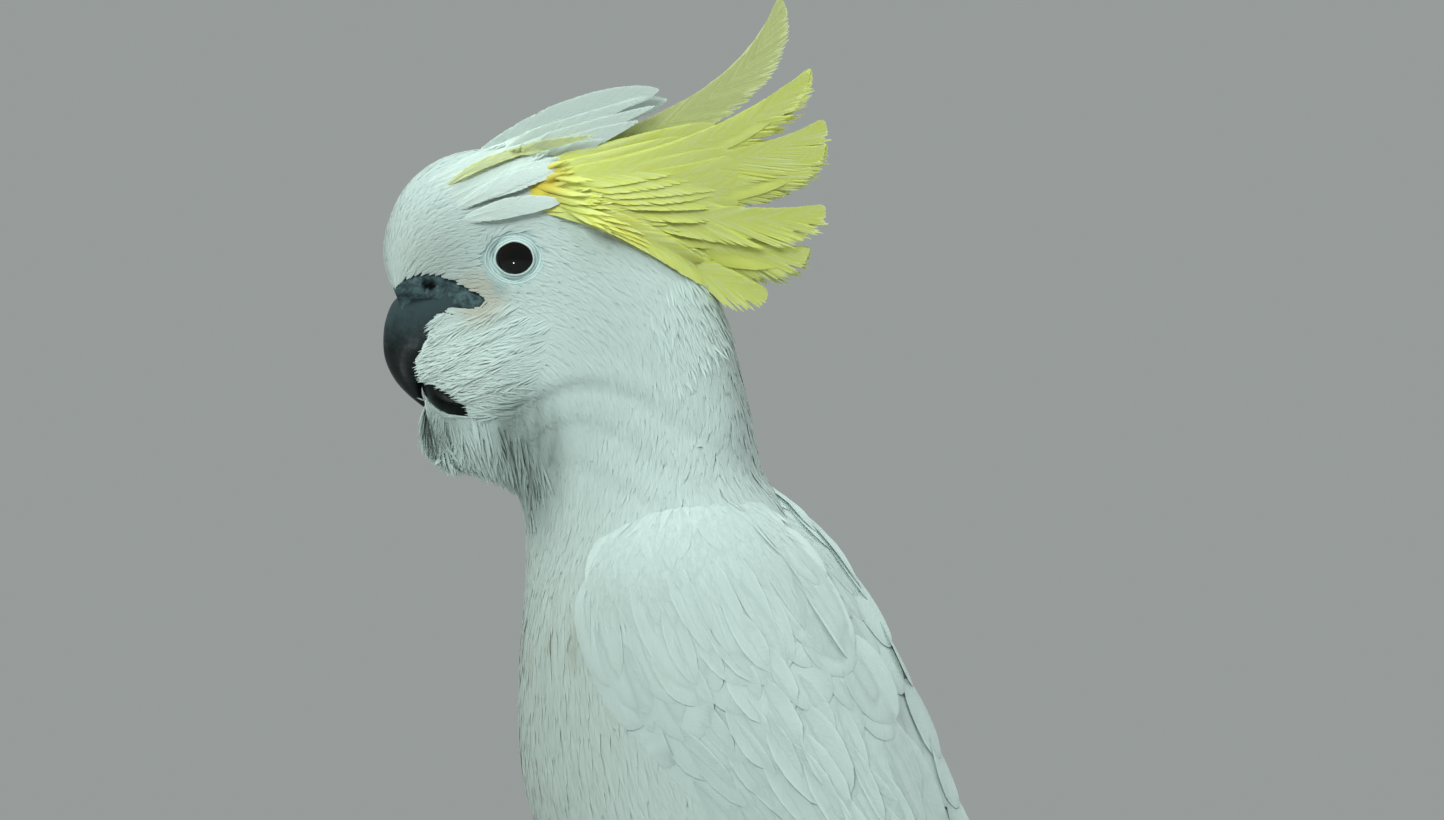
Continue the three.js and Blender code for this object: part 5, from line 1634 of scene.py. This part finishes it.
def claw_shell(toe, side):
    """A claw from the toe's end, arched off the branch, its tip on the bark."""
    g = np.linspace(0, 1, 40)
    root = toe[4] * TOE_TAPER
    hook = BRANCH_RADIUS + 0.3 + root * 1.15 + (0.5 - root * 1.15) * g + 1.2 * np.sin(math.pi * g)
    path = toe_path(toe, side, toe[2] - 0.04, toe[2] + toe[5], hook)
    return tube(path, root * 0.86 + (CLAW_TIP - root * 0.86) * g**1.2, 20)


def make_feet():
    skin, nail = scaly_skin("foot_scales"), claw_horn("claw_horn")
    for name, side in SIDES:
        radius = np.interp(np.linspace(0, 1, 60), *SHANK_RADIUS)
        shells = [tube(smooth_path(SHANK * [1, side, 1], 60), radius, 28, shank_scutes)]
        for toe in TOES:
            shells.append(toe_shell(toe, side))
            claw = f"claw_{toe[0]}_{name}"
            make_object(f"{claw}_horn", claw_shell(toe, side), nail, (claw,))
        points, faces = joined(shells)
        flesh = [f"foot_{name}"] + [f"toe_{toe[0]}_{name}" for toe in TOES]
        make_object(f"foot_{name}_skin", points, skin, flesh, faces)


# ---------- branch and stand ----------

BRANCH_HALF, BRANCH_END_RADIUS = 92.0, 15.0
BARK_RIDGES = [  # ridges round the branch, their twist along it, phase and height
    (9, 0.05, 0.3, 0.30), (14, -0.07, 1.9, 0.26), (23, 0.13, 4.0, 0.2), (31, -0.21, 0.9, 0.14),
]


def make_branch():
    """A cut branch along Y: a cylinder with ridged bark, chamfered to flat sawn ends."""
    ends = np.full(3, BRANCH_HALF)
    y = np.concatenate([-ends, np.linspace(-BRANCH_HALF, BRANCH_HALF, 260), ends])[:, None]
    inset = np.concatenate([[16.0, 8.0, 1.4], np.zeros(260), [1.4, 8.0, 16.0]])[:, None]
    outside = smoothstep(0.45, 1, np.abs(y) / BRANCH_HALF)
    u = round_angles(128)
    ridges = 0.0
    for k, (turns, run, phase, size) in enumerate(BARK_RIDGES):
        ridges = ridges + size * np.sin(turns * u + run * y + phase + 0.8 * np.sin(0.11 * y + k))
    ridges = -np.abs(ridges) * (0.45 + 0.55 * outside) * (inset == 0)
    radius = BRANCH_RADIUS + (BRANCH_END_RADIUS - BRANCH_RADIUS) * outside
    reach = np.maximum(radius + ridges - inset, 0.05)
    sway = 1.6 * outside * np.sin(2.2 * y / BRANCH_HALF)
    y = np.broadcast_to(y, reach.shape)
    points = np.stack([sway + reach * np.sin(u), y, reach * np.cos(u) - BRANCH_RADIUS], -1)
    cut = np.broadcast_to((inset > 1.0).astype(float), reach.shape)
    make_object("branch_bark", points, bark("branch_bark"), ("perch",), None, None, {"cut": cut})


def finish_stand():
    """The stand's own solids stay, with their materials."""
    wood, steel = walnut("stand_walnut"), brushed_steel("stand_steel")
    for name, material in (("stand_base", wood), ("stand_rod", steel), ("stand_collar", steel)):
        for slot in bpy.data.objects[name].material_slots:
            slot.material = material


# ---------- studio ----------


def studio_floor():
    """Pale floor that fades into the backdrop's light far from the stand."""
    finish = Finish("studio_floor", {"Specular IOR Level": 0.1})
    mottle = finish.noise(finish.where(), 3.0, 3, 0.5)
    colour = finish.mix(finish.ease(mottle, 0.3, 0.7), (0.44, 0.46, 0.455), (0.46, 0.48, 0.475))
    apart = finish.node("ShaderNodeVectorMath", {"operation": "LENGTH"}, {0: finish.where()}, "Value")
    return finish.feed({
        "Base Color": colour,
        "Roughness": finish.ease(mottle, 0.2, 0.8, 0.8, 0.9),
        "Alpha": finish.ease(apart, 0.5, 3.2, 1.0, 0.0),
    })


FLOOR_RADIUS = 3.3
LIGHT_TARGET = Vector((-0.02, -0.01, 0.48))
LIGHTS = [  # name, place, size, power, colour
    ("key_light", (-0.5, -2.5, 2.5), 1.8, 84, (0.82, 1.0, 0.955)),
    ("top_light", (0.4, 0.2, 3.2), 2.0, 53, (0.82, 1.0, 0.965)),
    ("catch_light", (-0.12, -0.76, 0.075), 0.085, 1.3, (1.0, 1.0, 1.0)),
]
CAMERA_AZIMUTH, CAMERA_DISTANCE = math.radians(18), 3.0
CAMERA_ASIDE, CAMERA_HEIGHT = 0.0117, 0.4455
VIEW_WIDTH, SENSOR_WIDTH = 0.52706, 36.0  # metres across the picture at the bird, and millimetres


def aimed(name, data, place, target):
    """A light or camera at a place, turned to a target."""
    made = bpy.data.objects.new(name, data)
    made.location = place
    made.rotation_euler = (target - Vector(place)).to_track_quat("-Z", "Y").to_euler()
    bpy.context.scene.collection.objects.link(made)
    return made


def make_studio():
    """A floor, a plain backdrop, two soft lights, and a small one that only glints in the eye."""
    u = round_angles(96)
    mesh = bpy.data.meshes.new("studio_floor")
    rim = [(FLOOR_RADIUS * math.cos(a), FLOOR_RADIUS * math.sin(a), -0.0005) for a in u]
    mesh.from_pydata(rim, [], [tuple(range(len(rim)))])
    mesh.materials.append(studio_floor())
    floor = bpy.data.objects.new("studio_floor", mesh)
    bpy.context.scene.collection.objects.link(floor)
    world = bpy.data.worlds.new("studio_light")
    world.use_nodes = True
    world.node_tree.nodes["Background"].inputs["Color"].default_value = (*BACKDROP, 1)
    bpy.context.scene.world = world
    bpy.context.scene.view_settings.view_transform = "Standard"
    for name, place, size, power, colour in LIGHTS:
        light = bpy.data.lights.new(name, "AREA")
        light.shape, light.size, light.energy, light.color = "DISK", size, power, colour
        lamp = aimed(name, light, place, LIGHT_TARGET)
        lamp.visible_glossy = name == "catch_light"
        lamp.visible_diffuse = not lamp.visible_glossy


def make_camera():
    """The camera stands level, 18 degrees round from the bird's left towards its tail."""
    c, s = math.cos(CAMERA_AZIMUTH), math.sin(CAMERA_AZIMUTH)
    target = Vector((CAMERA_ASIDE * c, CAMERA_ASIDE * s, CAMERA_HEIGHT))
    data = bpy.data.cameras.new("camera")
    data.sensor_width, data.lens = SENSOR_WIDTH, SENSOR_WIDTH * CAMERA_DISTANCE / VIEW_WIDTH
    data.clip_end = 60
    bpy.context.scene.camera = aimed("camera", data, target + CAMERA_DISTANCE * Vector((s, -c, 0)), target)


make_skin()
make_bill()
make_cere()
make_coat()
make_thighs()
make_wings()
make_mantle()
make_tail()
make_crest()
make_feet()
make_branch()
finish_stand()
make_studio()
make_camera()
